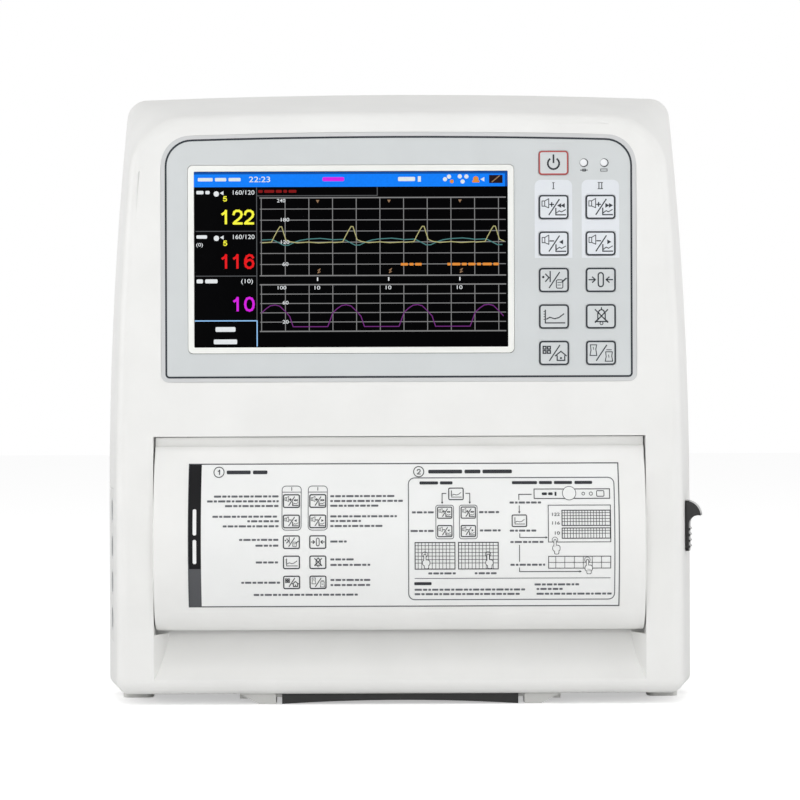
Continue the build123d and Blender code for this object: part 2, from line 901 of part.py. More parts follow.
def screen_bezel():
    """White ring around the display with a ledge behind its front lip."""
    ring = slab(
        rounded(
            view_x, view_z, view_width + 2.0 * bezel_width, view_height + 2.0 * bezel_width, bezel_corner
        ),
        bezel_front_y,
        bezel_back_y,
    )
    ring -= slab(
        rounded(view_x, view_z, view_width, view_height, bezel_proud),
        bezel_front_y - overrun,
        bezel_back_y + overrun,
    )
    ring -= slab(glass_profile(static_gap), glass_y, bezel_back_y + overrun)
    return ring


def glass_profile(grow=0.0):
    """Outline of the touch glass and of the module's front step."""
    edge = bezel_ledge - static_gap + grow
    return rounded(view_x, view_z, view_width + 2.0 * edge, view_height + 2.0 * edge, bezel_ledge)


def screen_glass():
    """Touch glass."""
    return slab(glass_profile(), glass_y, lcd_front_y)


def lcd_module():
    """Display module: front step in the bezel, wide rim behind it."""
    module = slab(glass_profile(), lcd_front_y, lcd_flange_y)
    rim = rounded(view_x, view_z, 2.0 * lcd_half_w, 2.0 * lcd_half_h, bezel_ledge)
    return module + slab(rim, lcd_flange_y, lcd_back_y)


def display_bracket():
    """Steel plate behind the display, with spacers for the main board."""
    plate = slab(
        rounded(view_x, view_z, 2.0 * bracket_half_w, 2.0 * bracket_half_h, bracket_margin),
        bracket_y,
        bracket_y + bracket_thickness,
    )
    for side in (-1, 1):
        slot = Pos(view_x + side * view_width / 4, view_z) * SlotOverall(
            view_height / 2, bracket_margin, rotation=90
        )
        plate -= slab(slot, bracket_y - overrun, bracket_y + overrun)
    for x, z in standoff_places():
        plate += rod_y(x, z, standoff_radius, bracket_y, main_board_y)
    return plate


def standoff_places():
    """Corners of the main board where its spacers stand."""
    for side in (-1, 1):
        for level in (-1, 1):
            x = view_x + side * (main_board_width / 2 - bracket_margin)
            yield x, view_z + level * (bracket_half_h - 2.0 * bracket_margin)


def main_board():
    """Main circuit board with its larger chips and a shield can."""
    board = slab(
        rounded(view_x, view_z, main_board_width, main_board_height, standoff_radius),
        main_board_y,
        main_board_y + board_thickness,
    )
    back = main_board_y + board_thickness
    for x_share, z_share, width_share in MAIN_CHIP_SHARES:
        half = main_board_width * width_share / 2
        x, z = view_x + main_board_width * x_share, view_z + main_board_height * z_share
        board += block(x - half, x + half, back, back + chip_height, z - half, z + half)
    return board


def key_cap(column, row):
    """One key: rounded cap in the overlay with a flange behind the face."""
    x, z = key_place(column, row)
    cap = slab(rounded(x, z, key_width, key_height, key_corner), key_front_y, key_flange_y)
    cap = fillet(cap.edges().group_by(Axis.Y)[0], key_edge)
    flange = rounded(x, z, key_width + 2.0 * key_flange, key_height + 2.0 * key_flange, key_corner)
    return cap + slab(flange, key_flange_y, key_back_y)


def key_board():
    """Keypad board on the front shell's posts."""
    x_low, x_high, z_low, z_high = keypad_box()
    return block(x_low, x_high, keypad_y, keypad_y + board_thickness, z_low, z_high)


def key_domes():
    """Metal snap domes under the keys."""
    domes = Part()
    for _, column, row in KEYS:
        x, z = key_place(column, row)
        lower = rod_y(x, z, dome_radius, keypad_y - dome_height / 2, keypad_y)
        domes += lower + rod_y(x, z, dome_radius / 2, dome_front_y, keypad_y - dome_height / 2)
    return domes


def indicator_lenses():
    """Two light guides from the keypad board to the face."""
    lenses = Part()
    for x, z in led_places():
        lens = rod_y(x, z, led_radius, face_y - key_edge, keypad_y)
        lenses += fillet(lens.edges().group_by(Axis.Y)[0], key_edge)
    return lenses


def door_panel():
    """Bulged door panel with a set-back ledge along its upper edge."""
    panel = side_prism(door_skin_profile(), -door_half_width, door_half_width)
    ends = panel.faces().filter_by(Axis.X)
    edges = [edge for face in ends for edge in face.edges() if edge.length > door_thickness * 2.0]
    outer = [
        edge for edge in edges if abs(edge.center().Y - min(e.center().Y for e in edges)) < door_thickness / 2
    ]
    panel = fillet(outer, door_edge)
    top_y, _ = bulge_point(bulge_radius, bulge_top_z)
    ledge_y = top_y + ledge_step
    ledge_low = bulge_top_z - ledge_drop
    web_y, _ = bulge_point(bulge_radius - door_thickness / 2, ledge_low)
    half = door_half_width - cheek_thickness
    back_y = ledge_y + ledge_thickness
    ledge = block(-half, half, ledge_y, back_y, ledge_low, aperture_top_z - ledge_gap)
    web = block(-half, half, web_y, back_y, ledge_low, ledge_low + ledge_thickness)
    wing_low = bulge_top_z - ledge_thickness / 2
    wings = block(-door_half_width, door_half_width, ledge_y, back_y, wing_low, aperture_top_z - ledge_gap)
    return panel + ledge + web + wings


def door_inside():
    """Space enclosed by the door's skin, cut off at the cheeks' back edge."""
    centre_y, centre_z = bulge_centre()
    disc = Pos(centre_y, centre_z) * Circle(bulge_radius - door_thickness)
    return disc


def door_frame():
    """Two cheeks behind the door's ends, joined by a stiffening rib."""
    frame = Part()
    for side in (-1, 1):
        low, high = sorted(
            (side * (door_half_width - cheek_thickness), side * (door_half_width - cheek_recess))
        )
        points = (
            (hinge_y, hinge_z + hinge_boss_radius),
            (hinge_y + hinge_boss_radius, hinge_z),
            (platen_y + platen_boss_radius, platen_z),
            (platen_y, platen_z + platen_boss_radius),
            (platen_y - door_thickness * 3.0, platen_z + platen_boss_radius),
            (face_y - door_proud * 2.0, bulge_centre_z + platen_boss_radius),
            (face_y - door_proud, hinge_z + hinge_boss_radius),
        )
        plate = make_face(Polyline(*points, close=True))
        plate += Pos(hinge_y, hinge_z) * Circle(hinge_boss_radius)
        plate += Pos(platen_y, platen_z) * Circle(platen_boss_radius)
        plate &= door_inside()
        cheek = side_prism(plate, low, high)
        hub = rod_x(platen_y, platen_z, shaft_radius + bush_wall, low - overrun, high + overrun)
        pin = rod_x(hinge_y, hinge_z, hinge_pin_radius, low - overrun, high + overrun)
        frame += cheek - hub - pin
    half = door_half_width - cheek_thickness
    rib_y, _ = bulge_point(bulge_radius - door_thickness, bulge_centre_z)
    rib = side_prism(
        Pos(rib_y + door_thickness * 3.0, bulge_centre_z) * Rectangle(door_thickness * 8.0, door_thickness),
        -half,
        half,
    )
    rib &= side_prism(door_inside(), -half, half)
    return frame + rib


def door_hinge_pins():
    """Steel pins in the cheeks that turn in the bay's side walls."""
    pins = Part()
    for side in (-1, 1):
        ends = sorted(
            (side * (door_half_width - cheek_thickness), side * (door_half_width + hinge_pin_length))
        )
        pins += rod_x(hinge_y, hinge_z, hinge_pin_radius, *ends)
    return pins


def label_solid():
    """Printed guide sheet on the door's curve."""
    centre_y, centre_z = bulge_centre()
    outer = Pos(centre_y, centre_z) * Circle(bulge_radius + label_gap + label_thickness)
    ring = outer - Pos(centre_y, centre_z) * Circle(bulge_radius + label_gap)
    x_low = label_x - label_width / 2
    sheet = side_prism(ring, x_low, x_low + label_width)
    return sheet & block(
        x_low,
        x_low + label_width,
        face_y - 2.0 * door_proud,
        face_y + door_proud,
        label_bottom_z,
        label_bottom_z + label_height,
    )


def platen_bushes():
    """Flanged bushes of the platen shaft in the door's cheeks."""
    bushes = Part()
    for side in (-1, 1):
        inner = side * (door_half_width - cheek_thickness)
        low, high = sorted((inner, side * (door_half_width - cheek_recess)))
        bush = rod_x(platen_y, platen_z, shaft_radius + bush_wall, low, high)
        ends = sorted((inner, inner - side * bush_flange))
        bush += rod_x(platen_y, platen_z, platen_boss_radius - bush_wall / 2, *ends)
        bushes += bush - rod_x(platen_y, platen_z, shaft_radius + running_gap, low - overrun, high + overrun)
    return bushes


def platen_shaft():
    """Steel shaft of the platen."""
    half = door_half_width - cheek_recess
    return rod_x(platen_y, platen_z, shaft_radius, -half, half)


def platen_roller():
    """Rubber sleeve of the platen."""
    tube = rod_x(platen_y, platen_z, platen_radius, -platen_half_length, platen_half_length)
    return tube - rod_x(
        platen_y, platen_z, shaft_radius, -platen_half_length - overrun, platen_half_length + overrun
    )


def gear_profile(teeth, turn):
    """Spur gear outline with straight-flanked teeth, turned by an angle."""
    pitch = gear_module * teeth / 2
    tip, root = pitch + gear_module * addendum_share, pitch - gear_module * dedendum_share
    half = math.pi * gear_module / 4 - tooth_thinning / 2
    lean = math.tan(math.radians(pressure_angle))
    points = []
    for tooth in range(teeth):
        middle = turn + tooth * 2.0 * math.pi / teeth
        for side in (-1, 1):
            for radius in (root, tip)[::-side]:
                width = half - (radius - pitch) * lean
                angle = middle + side * width / radius
                points.append((radius * math.cos(angle), radius * math.sin(angle)))
    return make_face(Polyline(*points, close=True))


def gear_solid(teeth, place, turn, x_low, x_high, bore):
    """A spur gear along X with a round bore."""
    y, z = place
    blank = Pos(y, z) * (gear_profile(teeth, turn) - Circle(bore))
    return side_prism(blank, x_low, x_high)


def gear_places():
    """Centres and rest angles of platen gear, idler and pinion."""
    first = gear_module * (platen_teeth + idler_teeth) / 2 + mesh_slack
    second = gear_module * (idler_teeth + pinion_teeth) / 2 + mesh_slack
    idler = (platen_y + first, platen_z)
    lift = math.radians(pinion_angle)
    pinion = (idler[0] + second * math.cos(lift), idler[1] + second * math.sin(lift))
    idler_turn = math.pi - math.pi / idler_teeth
    facing = (lift - idler_turn) / (2.0 * math.pi / idler_teeth)
    offset = facing - math.floor(facing)
    pinion_turn = lift + math.pi + (0.5 + offset) * 2.0 * math.pi / pinion_teeth
    return ((platen_y, platen_z), 0.0), (idler, idler_turn), (pinion, pinion_turn)


def platen_gear():
    """Gear fixed on the platen shaft's left end."""
    place, turn = gear_places()[0]
    return gear_solid(platen_teeth, place, turn, gear_low_x, gear_low_x + gear_width, shaft_radius)


def idler_gear():
    """Idler between the motor's pinion and the platen gear."""
    place, turn = gear_places()[1]
    return gear_solid(
        idler_teeth, place, turn, gear_low_x, gear_low_x + gear_width, stud_radius + running_gap
    )


def motor_pinion():
    """Pinion fixed on the motor's shaft."""
    place, turn = gear_places()[2]
    return gear_solid(pinion_teeth, place, turn, gear_low_x, gear_low_x + gear_width, motor_shaft_radius)


def motor_shaft():
    """Shaft of the motor, from inside its can to the pinion."""
    (y, z), _ = gear_places()[2]
    return rod_x(
        y, z, motor_shaft_radius, -chassis_half - chassis_sheet - motor_length / 2, gear_low_x + gear_width
    )


def drive_motor():
    """Round motor on the outside of the chassis' left end plate."""
    (y, z), _ = gear_places()[2]
    outer = -chassis_half - chassis_sheet
    can = rod_x(y, z, motor_radius, outer - motor_length, outer)
    can = fillet(can.edges().group_by(Axis.X)[0], bush_flange)
    return can - rod_x(y, z, motor_shaft_radius + running_gap, outer - motor_length / 2, outer + overrun)


def printer_chassis():
    """Steel sheet: top, hanging rear plate, two ends and the idler's stud."""
    top = aperture_top_z + wall
    front = face_y + wall * 2.0
    chassis_back_y = gear_places()[2][0][0] + chassis_reach
    body = block(
        -chassis_half - chassis_sheet,
        chassis_half + chassis_sheet,
        front,
        chassis_back_y,
        top,
        top + chassis_sheet,
    )
    back = head_back_y + head_spring_length
    reach = platen_half_length - bush_flange
    body += block(-reach, reach, back, back + chassis_sheet, chassis_bottom_z, top)
    for side in (-1, 1):
        ends = sorted((side * chassis_half, side * (chassis_half + chassis_sheet)))
        body += block(*ends, tube_back_y + static_gap, chassis_back_y, chassis_bottom_z, top)
    (idler_y, idler_z), (motor_y, motor_z) = (place for place, _ in gear_places()[1:])
    ends = (-chassis_half - chassis_sheet - overrun, -chassis_half + overrun)
    body -= rod_x(motor_y, motor_z, motor_shaft_radius + static_gap, *ends)
    gear_end = gear_low_x + gear_width + bush_slack
    stud = rod_x(idler_y, idler_z, stud_radius, -chassis_half - chassis_sheet / 2, gear_end)
    stud += rod_x(idler_y, idler_z, stud_radius + bush_flange, gear_end, gear_end + bush_flange)
    return body + stud


def print_head():
    """Ceramic strip that faces the platen, on a finned aluminium bar."""
    front = platen_y + platen_radius + head_gap
    low = platen_z - head_height / 2
    half = platen_half_length - bush_flange
    return block(-half, half, front, front + ceramic_thickness, low, low + head_height)


def head_sink():
    """Finned bar behind the ceramic strip."""
    front = platen_y + platen_radius + head_gap + ceramic_thickness
    low = platen_z - head_height / 2
    half = platen_half_length - bush_flange
    bar = block(-half, half, front, head_back_y, low, low + head_height)
    pitch = head_height / (2.0 * fin_count + 1.0)
    for index in range(fin_count):
        z = low + pitch * (2.0 * index + 1.0)
        if abs(z + pitch / 2 - platen_z) > head_spring_radius + pitch:
            bar -= block(
                -half - overrun,
                half + overrun,
                head_back_y - sink_fin_depth,
                head_back_y + overrun,
                z,
                z + pitch,
            )
    return bar


def head_springs():
    """Two coil springs that press the head against the platen."""
    springs = Part()
    pitch = (head_spring_length - 2.0 * head_spring_wire) / head_spring_turns
    coil = Helix(pitch, pitch * head_spring_turns, head_spring_radius - head_spring_wire)
    ring = Plane(origin=coil @ 0, z_dir=coil % 0) * Circle(head_spring_wire)
    spring = sweep(ring, path=coil)
    for side in (-1, 1):
        place = Plane(
            (side * platen_half_length / 2, head_back_y + head_spring_wire, platen_z),
            x_dir=(1, 0, 0),
            z_dir=(0, 1, 0),
        )
        springs += place.location * spring
    return springs


def paper_tray():
    """Box for the folded chart paper, open to the front."""
    outer = block(
        -tray_half_width - tray_wall,
        tray_half_width + tray_wall,
        tube_back_y,
        tray_back_y,
        tray_bottom_z - tray_wall,
        tray_top_z,
    )
    half = aperture_half + wall
    flange = block(-half, half, tube_back_y, tube_back_y + tray_flange, scoop_top_z - wall, tray_top_z)
    tray = outer + flange
    low, high = keeper_z - keeper_slot, keeper_z + keeper_height + keeper_slot
    slot = block(
        half - keeper_slot * 2.0,
        half + overrun,
        tube_back_y - overrun,
        tube_back_y + tray_flange + overrun,
        low,
        high,
    )
    return tray - slot - block(
        -tray_half_width,
        tray_half_width,
        tube_back_y - overrun,
        tray_back_y - tray_wall,
        tray_bottom_z,
        tray_top_z - tray_wall,
    )


def latch_button():
    """Sliding door latch: ribbed plate, domed head, neck and inner flange."""
    plane = latch_plane()
    height = latch_height
    plate = on_plane(
        plane,
        Pos(0, height / 2) * RectangleRounded(latch_width, height, latch_corner),
        latch_gap,
        latch_gap + latch_plate,
    )
    side = Plane(plane.origin - plane.x_dir * (latch_width / 2), x_dir=plane.z_dir, z_dir=-plane.x_dir)
    top = height
    beak = height - latch_head_height * latch_beak_share
    foot = height - latch_head_height * latch_foot_share
    path = ThreePointArc(
        (latch_gap, top),
        (latch_reach * latch_brow_share, top - latch_head_height * latch_drop_share),
        (latch_reach, beak),
    )
    hollow = (latch_gap + latch_plate * 2.0, (beak + foot) / 2 + latch_plate)
    path += ThreePointArc((latch_reach, beak), hollow, (latch_gap + latch_plate, foot))
    path += Line((latch_gap + latch_plate, foot), (latch_gap, foot))
    path += Line((latch_gap, foot), (latch_gap, top))
    profile = make_face(path)
    head = extrude(side * profile, amount=-latch_width)
    body = plate + head
    for index in range(latch_rib_count):
        level = foot - (index + 0.5) * latch_rib_pitch
        place = Plane(side.origin, x_dir=side.x_dir, z_dir=side.z_dir)
        rib = place * Pos(latch_gap + latch_plate, level) * Circle(latch_rib_radius)
        body += extrude(rib, amount=-latch_width)
    neck_centre = Pos(0, height / 2)
    body += on_plane(
        plane,
        neck_centre * Rectangle(latch_neck_width, latch_neck_height),
        latch_inner,
        latch_gap + latch_plate / 2,
    )
    flange = neck_centre * Rectangle(
        latch_neck_width + 2.0 * latch_flange_margin, latch_neck_height + 2.0 * latch_flange_margin
    )
    return body + on_plane(plane, flange, latch_inner - latch_flange_thickness, latch_inner)


def latch_hook():
    """Steel blade from the latch's flange towards the door's keeper."""
    plane = latch_plane()
    inner = latch_inner - latch_flange_thickness
    reach = (plane.origin.X - aperture_half - static_gap) / math.cos(draft)
    blade = Pos(0, latch_height / 2) * Rectangle(latch_neck_width, latch_neck_height)
    return on_plane(plane, blade, -reach, inner)


def door_keeper():
    """Steel blade on the right cheek, level with the latch's hook."""
    x_high = door_half_width - cheek_thickness
    low, high = keeper_z - keeper_height / 2, keeper_z + keeper_height / 2
    return block(x_high - keeper_thickness, x_high, platen_y, keeper_y, low, high)


def latch_spring():
    """Coil spring that holds the latch down."""
    plane = latch_plane()
    base = latch_spring_base()
    depth = latch_inner - latch_flange_thickness / 2
    radius = latch_flange_thickness / 2 - latch_spring_wire
    pitch = latch_spring_length / latch_spring_turns
    coil = Helix(pitch, latch_spring_length - latch_spring_wire * 2.0, radius)
    spring = sweep(Plane(origin=coil @ 0, z_dir=coil % 0) * Circle(latch_spring_wire), path=coil)
    place = Plane(
        plane.from_local_coords((0, base + latch_spring_wire, depth)), x_dir=plane.x_dir, z_dir=plane.y_dir
    )
    return place.location * spring


def socket_panel():
    """Rounded panel in the left wall with round openings for the sockets."""
    plate = on_plane(
        socket_plane(),
        RectangleRounded(socket_panel_width, socket_panel_height, socket_panel_corner),
        -socket_panel_thickness,
        0,
    )
    for z in socket_rows():
        plate -= on_plane(
            socket_plane(), Pos(0, z) * Circle(socket_bore_radius + socket_wall), -overrun, overrun
        )
    return plate


def transducer_sockets():
    """Round sockets for the transducer leads, flush with their panel."""
    sockets = Part()
    for z in socket_rows():
        outer = on_plane(
            socket_plane(), Pos(0, z) * Circle(socket_bore_radius + socket_wall), -socket_depth(), 0
        )
        sockets += outer - on_plane(
            socket_plane(), Pos(0, z) * Circle(socket_bore_radius), -socket_bore_depth, overrun
        )
    return sockets - contact_rods(-socket_bore_depth + static_gap)


def contact_rods(high):
    """Rods on a ring in each socket's floor, up to a given level."""
    rods = Part()
    low = -socket_bore_depth - contact_length
    for z in socket_rows():
        for index in range(contact_count):
            turn = 2.0 * math.pi * index / contact_count
            x = contact_circle_radius * math.cos(turn)
            y = z + contact_circle_radius * math.sin(turn)
            rods += on_plane(socket_plane(), Pos(x, y) * Circle(contact_radius), low, high)
    return rods


def socket_contacts():
    """Sunk contacts on a ring in each socket's floor."""
    return contact_rods(-socket_bore_depth - static_gap)


def io_board_top():
    """Height of the upper side of the lead board."""
    return io_bottom_z + (io_height - lan_height) / 2


def io_board():
    """Board behind the lead panel that carries its sockets."""
    half = io_width / 2
    back = inner_rear_y
    top = io_board_top()
    return block(-half, half, back - io_board_depth, back, top - board_thickness, top)


def port_places():
    """Middles of network socket, two USB sockets and supply inlet."""
    half = io_width / 2 - port_inset
    return -half, -half / 3, half / 3, half


def io_panel():
    """Plate with the sockets' openings, flush with the rear face."""
    half = io_width / 2
    plate = block(-half, half, rear_y - io_panel_thickness, rear_y, io_bottom_z, io_bottom_z + io_height)
    top = io_board_top()
    sizes = ((lan_width, lan_height), (usb_width, usb_height), (usb_width, usb_height), (dc_width, dc_height))
    for x, (width, height) in zip(port_places(), sizes):
        gap = static_gap
        plate -= block(
            x - width / 2 - gap,
            x + width / 2 + gap,
            rear_y - overrun,
            rear_y + overrun,
            top - gap,
            top + height + gap,
        )
    return plate


def network_socket():
    """Network socket with a square mouth."""
    x, top = port_places()[0], io_board_top()
    body = block(x - lan_width / 2, x + lan_width / 2, rear_y - lan_length, rear_y, top, top + lan_height)
    mid = top + lan_height / 2
    half_w, half_h = lan_mouth_width / 2, lan_mouth_height / 2
    return body - block(
        x - half_w, x + half_w, rear_y - lan_length + usb_tongue, rear_y + overrun, mid - half_h, mid + half_h
    )


def usb_sockets():
    """Two USB sockets: steel shells with a tongue."""
    sockets = Part()
    top = io_board_top()
    for x in port_places()[1:3]:
        body = block(x - usb_width / 2, x + usb_width / 2, rear_y - usb_length, rear_y, top, top + usb_height)
        inner = usb_width / 2 - usb_wall
        body -= block(
            x - inner,
            x + inner,
            rear_y - usb_length + usb_tongue,
            rear_y + overrun,
            top + usb_wall,
            top + usb_height - usb_wall,
        )
        reach = inner - usb_wall
        body += block(
            x - reach,
            x + reach,
            rear_y - usb_length + usb_tongue / 2,
            rear_y - usb_tongue,
            top + usb_wall,
            top + usb_wall + usb_tongue,
        )
        sockets += body
    return sockets


def supply_inlet():
    """Low-voltage inlet with a centre pin."""
    x, top = port_places()[3], io_board_top()
    mid = top + dc_height / 2
    body = block(x - dc_width / 2, x + dc_width / 2, rear_y - dc_length, rear_y, top, top + dc_height)
    body -= rod_y(x, mid, dc_mouth_radius, rear_y - dc_length + usb_tongue, rear_y + overrun)
    return body + rod_y(x, mid, dc_pin_radius, rear_y - dc_length + usb_tongue / 2, rear_y - usb_tongue)


def battery_pack():
    """Rechargeable pack in the bay under the cover."""
    x_low, x_high, z_low, z_high = battery_edges()
    pack = block(x_low, x_high, battery_front_y, battery_front_y + battery_thickness, z_low, z_high)
    return fillet(pack.edges().filter_by(Axis.Y), battery_corner)


def battery_cover():
    """Cover over the battery, flush with the rear face."""
    cover = slab(cover_profile(), rear_y - cover_thickness, rear_y)
    for x, z in cover_screw_places():
        cover -= rod_y(x, z, screw_radius + static_gap, rear_y - overrun, rear_y + overrun)
    return cover


def plate_inserts():
    """Threaded brass inserts of the wall-plate pattern."""
    inserts = Part()
    for x, z in insert_places():
        ring = rod_y(x, z, insert_radius, rear_y - insert_length, rear_y)
        inserts += ring - rod_y(x, z, insert_bore, rear_y - insert_length - overrun, rear_y + overrun)
    return inserts


def speaker():
    """Small loudspeaker behind the grille: cone frame and magnet."""
    body = rod_y(speaker_x, speaker_z, speaker_radius, inner_rear_y - speaker_rim, inner_rear_y)
    body += rod_y(
        speaker_x,
        speaker_z,
        speaker_radius * speaker_magnet_share,
        inner_rear_y - speaker_depth,
        inner_rear_y - speaker_rim / 2,
    )
    return body


def foot_bar_y():
    """Front and rear faces of the folding foot's bar."""
    front = face_y + foot_bar_setback
    return front, front + foot_bar_depth


def foot_frame():
    """U-shaped folding foot: bar with bevelled ends, arms and pivot eyes."""
    front, back = foot_bar_y()
    mid_y, mid_z = (front + back) / 2, foot_bar_height / 2
    points = (
        (grip_half_width + grip_end_gap, foot_bar_height),
        (foot_half_width, foot_bar_height),
        (foot_half_width, foot_corner_rise),
        (foot_flat_half_width, 0),
        (grip_half_width + grip_end_gap, 0),
    )
    half = grip_half_width + grip_end_gap * 2.0
    low, high = mid_z - core_height / 2 + grip_arch / 2, mid_z + core_height / 2 + grip_arch / 2
    core = block(-half, half, mid_y - core_depth / 2, mid_y + core_depth / 2, low, high)
    frame = core
    for side in (-1, 1):
        corner = make_face(Polyline(*((side * x, z) for x, z in points), close=True))
        frame += slab(corner, front, back)
        ends = sorted((side * (foot_half_width - foot_arm_width), side * foot_half_width))
        frame += block(*ends, mid_y, foot_pivot_y, foot_bar_height - foot_arm_height, foot_bar_height)
        frame += rod_x(foot_pivot_y, foot_pivot_z, foot_barrel_radius, *ends)
        frame -= rod_x(
            foot_pivot_y, foot_pivot_z, foot_pin_radius + running_gap, ends[0] - overrun, ends[1] + overrun
        )
    return frame


def foot_grip():
    """Rubber grip on the foot's bar, arched underneath."""
    front, back = foot_bar_y()
    path = ThreePointArc((-grip_half_width, 0), (0, grip_arch), (grip_half_width, 0))
    path += Line((grip_half_width, 0), (grip_half_width, foot_bar_height))
    path += Line((grip_half_width, foot_bar_height), (-grip_half_width, foot_bar_height))
    path += Line((-grip_half_width, foot_bar_height), (-grip_half_width, 0))
    grip = slab(make_face(path), front, back)
    mid_y, mid_z = (front + back) / 2, foot_bar_height / 2 + grip_arch / 2
    return grip - block(
        -grip_half_width - overrun,
        grip_half_width + overrun,
        mid_y - core_depth / 2,
        mid_y + core_depth / 2,
        mid_z - core_height / 2,
        mid_z + core_height / 2,
    )


def foot_pins():
    """Pivot pins of the folding foot."""
    pins = Part()
    for side in (-1, 1):
        ends = sorted(
            (side * (foot_half_width - foot_arm_width - wall), side * (recess_half_width + wall / 2))
        )
        pins += rod_x(foot_pivot_y, foot_pivot_z, foot_pin_radius, *ends)
    return pins


def rubber_pads():
    """Rubber pads under both shells."""
    return pad_block(0, underside_z + pad_seat)


NODES = {
    "front_housing": front_housing,
    "rear_housing": rear_housing,
    "housing_screws": housing_screws,
    "control_overlay": control_overlay,
    "screen_bezel": screen_bezel,
    "screen_glass": screen_glass,
    "lcd_module": lcd_module,
    "display_bracket": display_bracket,
    "main_board": main_board,
    "key_board": key_board,
    "key_domes": key_domes,
    "indicator_lenses": indicator_lenses,
    "door_panel": door_panel,
    "door_frame": door_frame,
    "door_label": label_solid,
    "door_hinge_pins": door_hinge_pins,
    "door_keeper": door_keeper,
    "platen_bushes": platen_bushes,
    "platen_shaft": platen_shaft,
    "platen_roller": platen_roller,
    "platen_gear": platen_gear,
    "idler_gear": idler_gear,
    "motor_pinion": motor_pinion,
    "motor_shaft": motor_shaft,
    "drive_motor": drive_motor,
    "printer_chassis": printer_chassis,
    "print_head": print_head,
    "head_sink": head_sink,
    "head_springs": head_springs,
    "paper_tray": paper_tray,
    "latch_button": latch_button,
    "latch_hook": latch_hook,
    "latch_spring": latch_spring,
    "socket_panel": socket_panel,
    "transducer_sockets": transducer_sockets,
    "socket_contacts": socket_contacts,
    "io_board": io_board,
    "io_panel": io_panel,
    "network_socket": network_socket,
    "usb_sockets": usb_sockets,
    "supply_inlet": supply_inlet,
    "battery_pack": battery_pack,
    "battery_cover": battery_cover,
    "plate_inserts": plate_inserts,
    "speaker": speaker,
    "foot_frame": foot_frame,
    "foot_grip": foot_grip,
    "foot_pins": foot_pins,
    "rubber_pads": rubber_pads,
}
for key, column, row in KEYS:
    NODES[key] = lambda column=column, row=row: key_cap(column, row)

for node, make in NODES.items():
    export_step(make(), f"parts/{node}.step")
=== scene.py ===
"""Looks of an upright bedside cardiotocograph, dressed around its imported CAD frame.

Lengths are in millimetres unless a docstring says otherwise. Printed marks are
laid out in drawing units, x to the right and y down, and a Placing says where
that drawing lies on the front of the unit. A box is its left, top, right and
low side, in that order.
"""

import json
import logging
import math
from collections.abc import Callable, Iterable, Iterator
from contextlib import contextmanager
from dataclasses import dataclass, field, replace
from enum import Enum

import bpy
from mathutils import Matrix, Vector

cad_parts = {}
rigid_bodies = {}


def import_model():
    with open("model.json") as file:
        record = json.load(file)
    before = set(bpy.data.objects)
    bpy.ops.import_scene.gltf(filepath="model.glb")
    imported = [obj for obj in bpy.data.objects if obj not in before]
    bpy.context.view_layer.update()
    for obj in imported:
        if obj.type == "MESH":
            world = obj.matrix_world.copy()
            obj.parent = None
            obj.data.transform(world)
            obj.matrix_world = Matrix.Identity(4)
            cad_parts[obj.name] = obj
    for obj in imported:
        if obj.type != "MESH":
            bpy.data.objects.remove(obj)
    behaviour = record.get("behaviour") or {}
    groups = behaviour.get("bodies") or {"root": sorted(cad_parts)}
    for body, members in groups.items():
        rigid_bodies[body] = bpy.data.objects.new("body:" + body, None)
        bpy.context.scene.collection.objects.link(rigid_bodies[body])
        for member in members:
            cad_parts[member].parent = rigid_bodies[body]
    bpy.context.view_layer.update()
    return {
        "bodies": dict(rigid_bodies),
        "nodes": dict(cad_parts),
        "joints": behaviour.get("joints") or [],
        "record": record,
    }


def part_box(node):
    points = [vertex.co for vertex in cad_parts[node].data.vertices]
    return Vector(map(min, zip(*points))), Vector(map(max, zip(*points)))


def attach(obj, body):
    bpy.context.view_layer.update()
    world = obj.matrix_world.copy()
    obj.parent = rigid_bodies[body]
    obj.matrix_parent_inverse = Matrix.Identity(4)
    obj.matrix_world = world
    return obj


MM = 0.001
UPRIGHT = (math.pi / 2, 0.0, 0.0)
log = logging.getLogger("cardiotocograph")

Colour = tuple[int, int, int]
Point = tuple[float, float]
Box = tuple[float, float, float, float]


def linear(colour: Colour, factor: float = 1.0) -> tuple[float, float, float, float]:
    """Turns display levels into the linear colour that a shader takes.

    Args:
        colour: Red, green and blue levels from 0 to 255.
        factor: What the linear values are multiplied by.

    Returns:
        Linear red, green, blue and an alpha of 1.
    """
    levels = (level / 255.0 for level in colour)
    parts = [(v / 12.92 if v <= 0.04045 else ((v + 0.055) / 1.055) ** 2.4) * factor for v in levels]
    return (min(parts[0], 1.0), min(parts[1], 1.0), min(parts[2], 1.0), 1.0)


def clear_selection() -> None:
    """Deselects every object, so that an operator acts on one piece only."""
    bpy.ops.object.select_all(action="DESELECT")


def pick(piece: bpy.types.Object) -> None:
    """Makes a piece the only selected and the active object.

    Args:
        piece: The object to pick.
    """
    clear_selection()
    piece.select_set(True)
    bpy.context.view_layer.objects.active = piece


def settle(piece: bpy.types.Object) -> bpy.types.Object:
    """Puts a piece's place into its mesh, so that its object sits at the origin.

    Args:
        piece: The object to settle.

    Returns:
        The same object.
    """
    pick(piece)
    bpy.ops.object.transform_apply(location=True, rotation=True, scale=True)
    return piece


def apply_modifier(piece: bpy.types.Object, kind: str, **settings: object) -> None:
    """Adds a modifier to a piece and applies it.

    Args:
        piece: The object that gets it.
        kind: The modifier's type, such as SOLIDIFY.
        settings: Its settings by name.
    """
    pick(piece)
    modifier = piece.modifiers.new(kind.title(), kind)
    for name, value in settings.items():
        setattr(modifier, name, value)
    bpy.ops.object.modifier_apply(modifier=modifier.name)


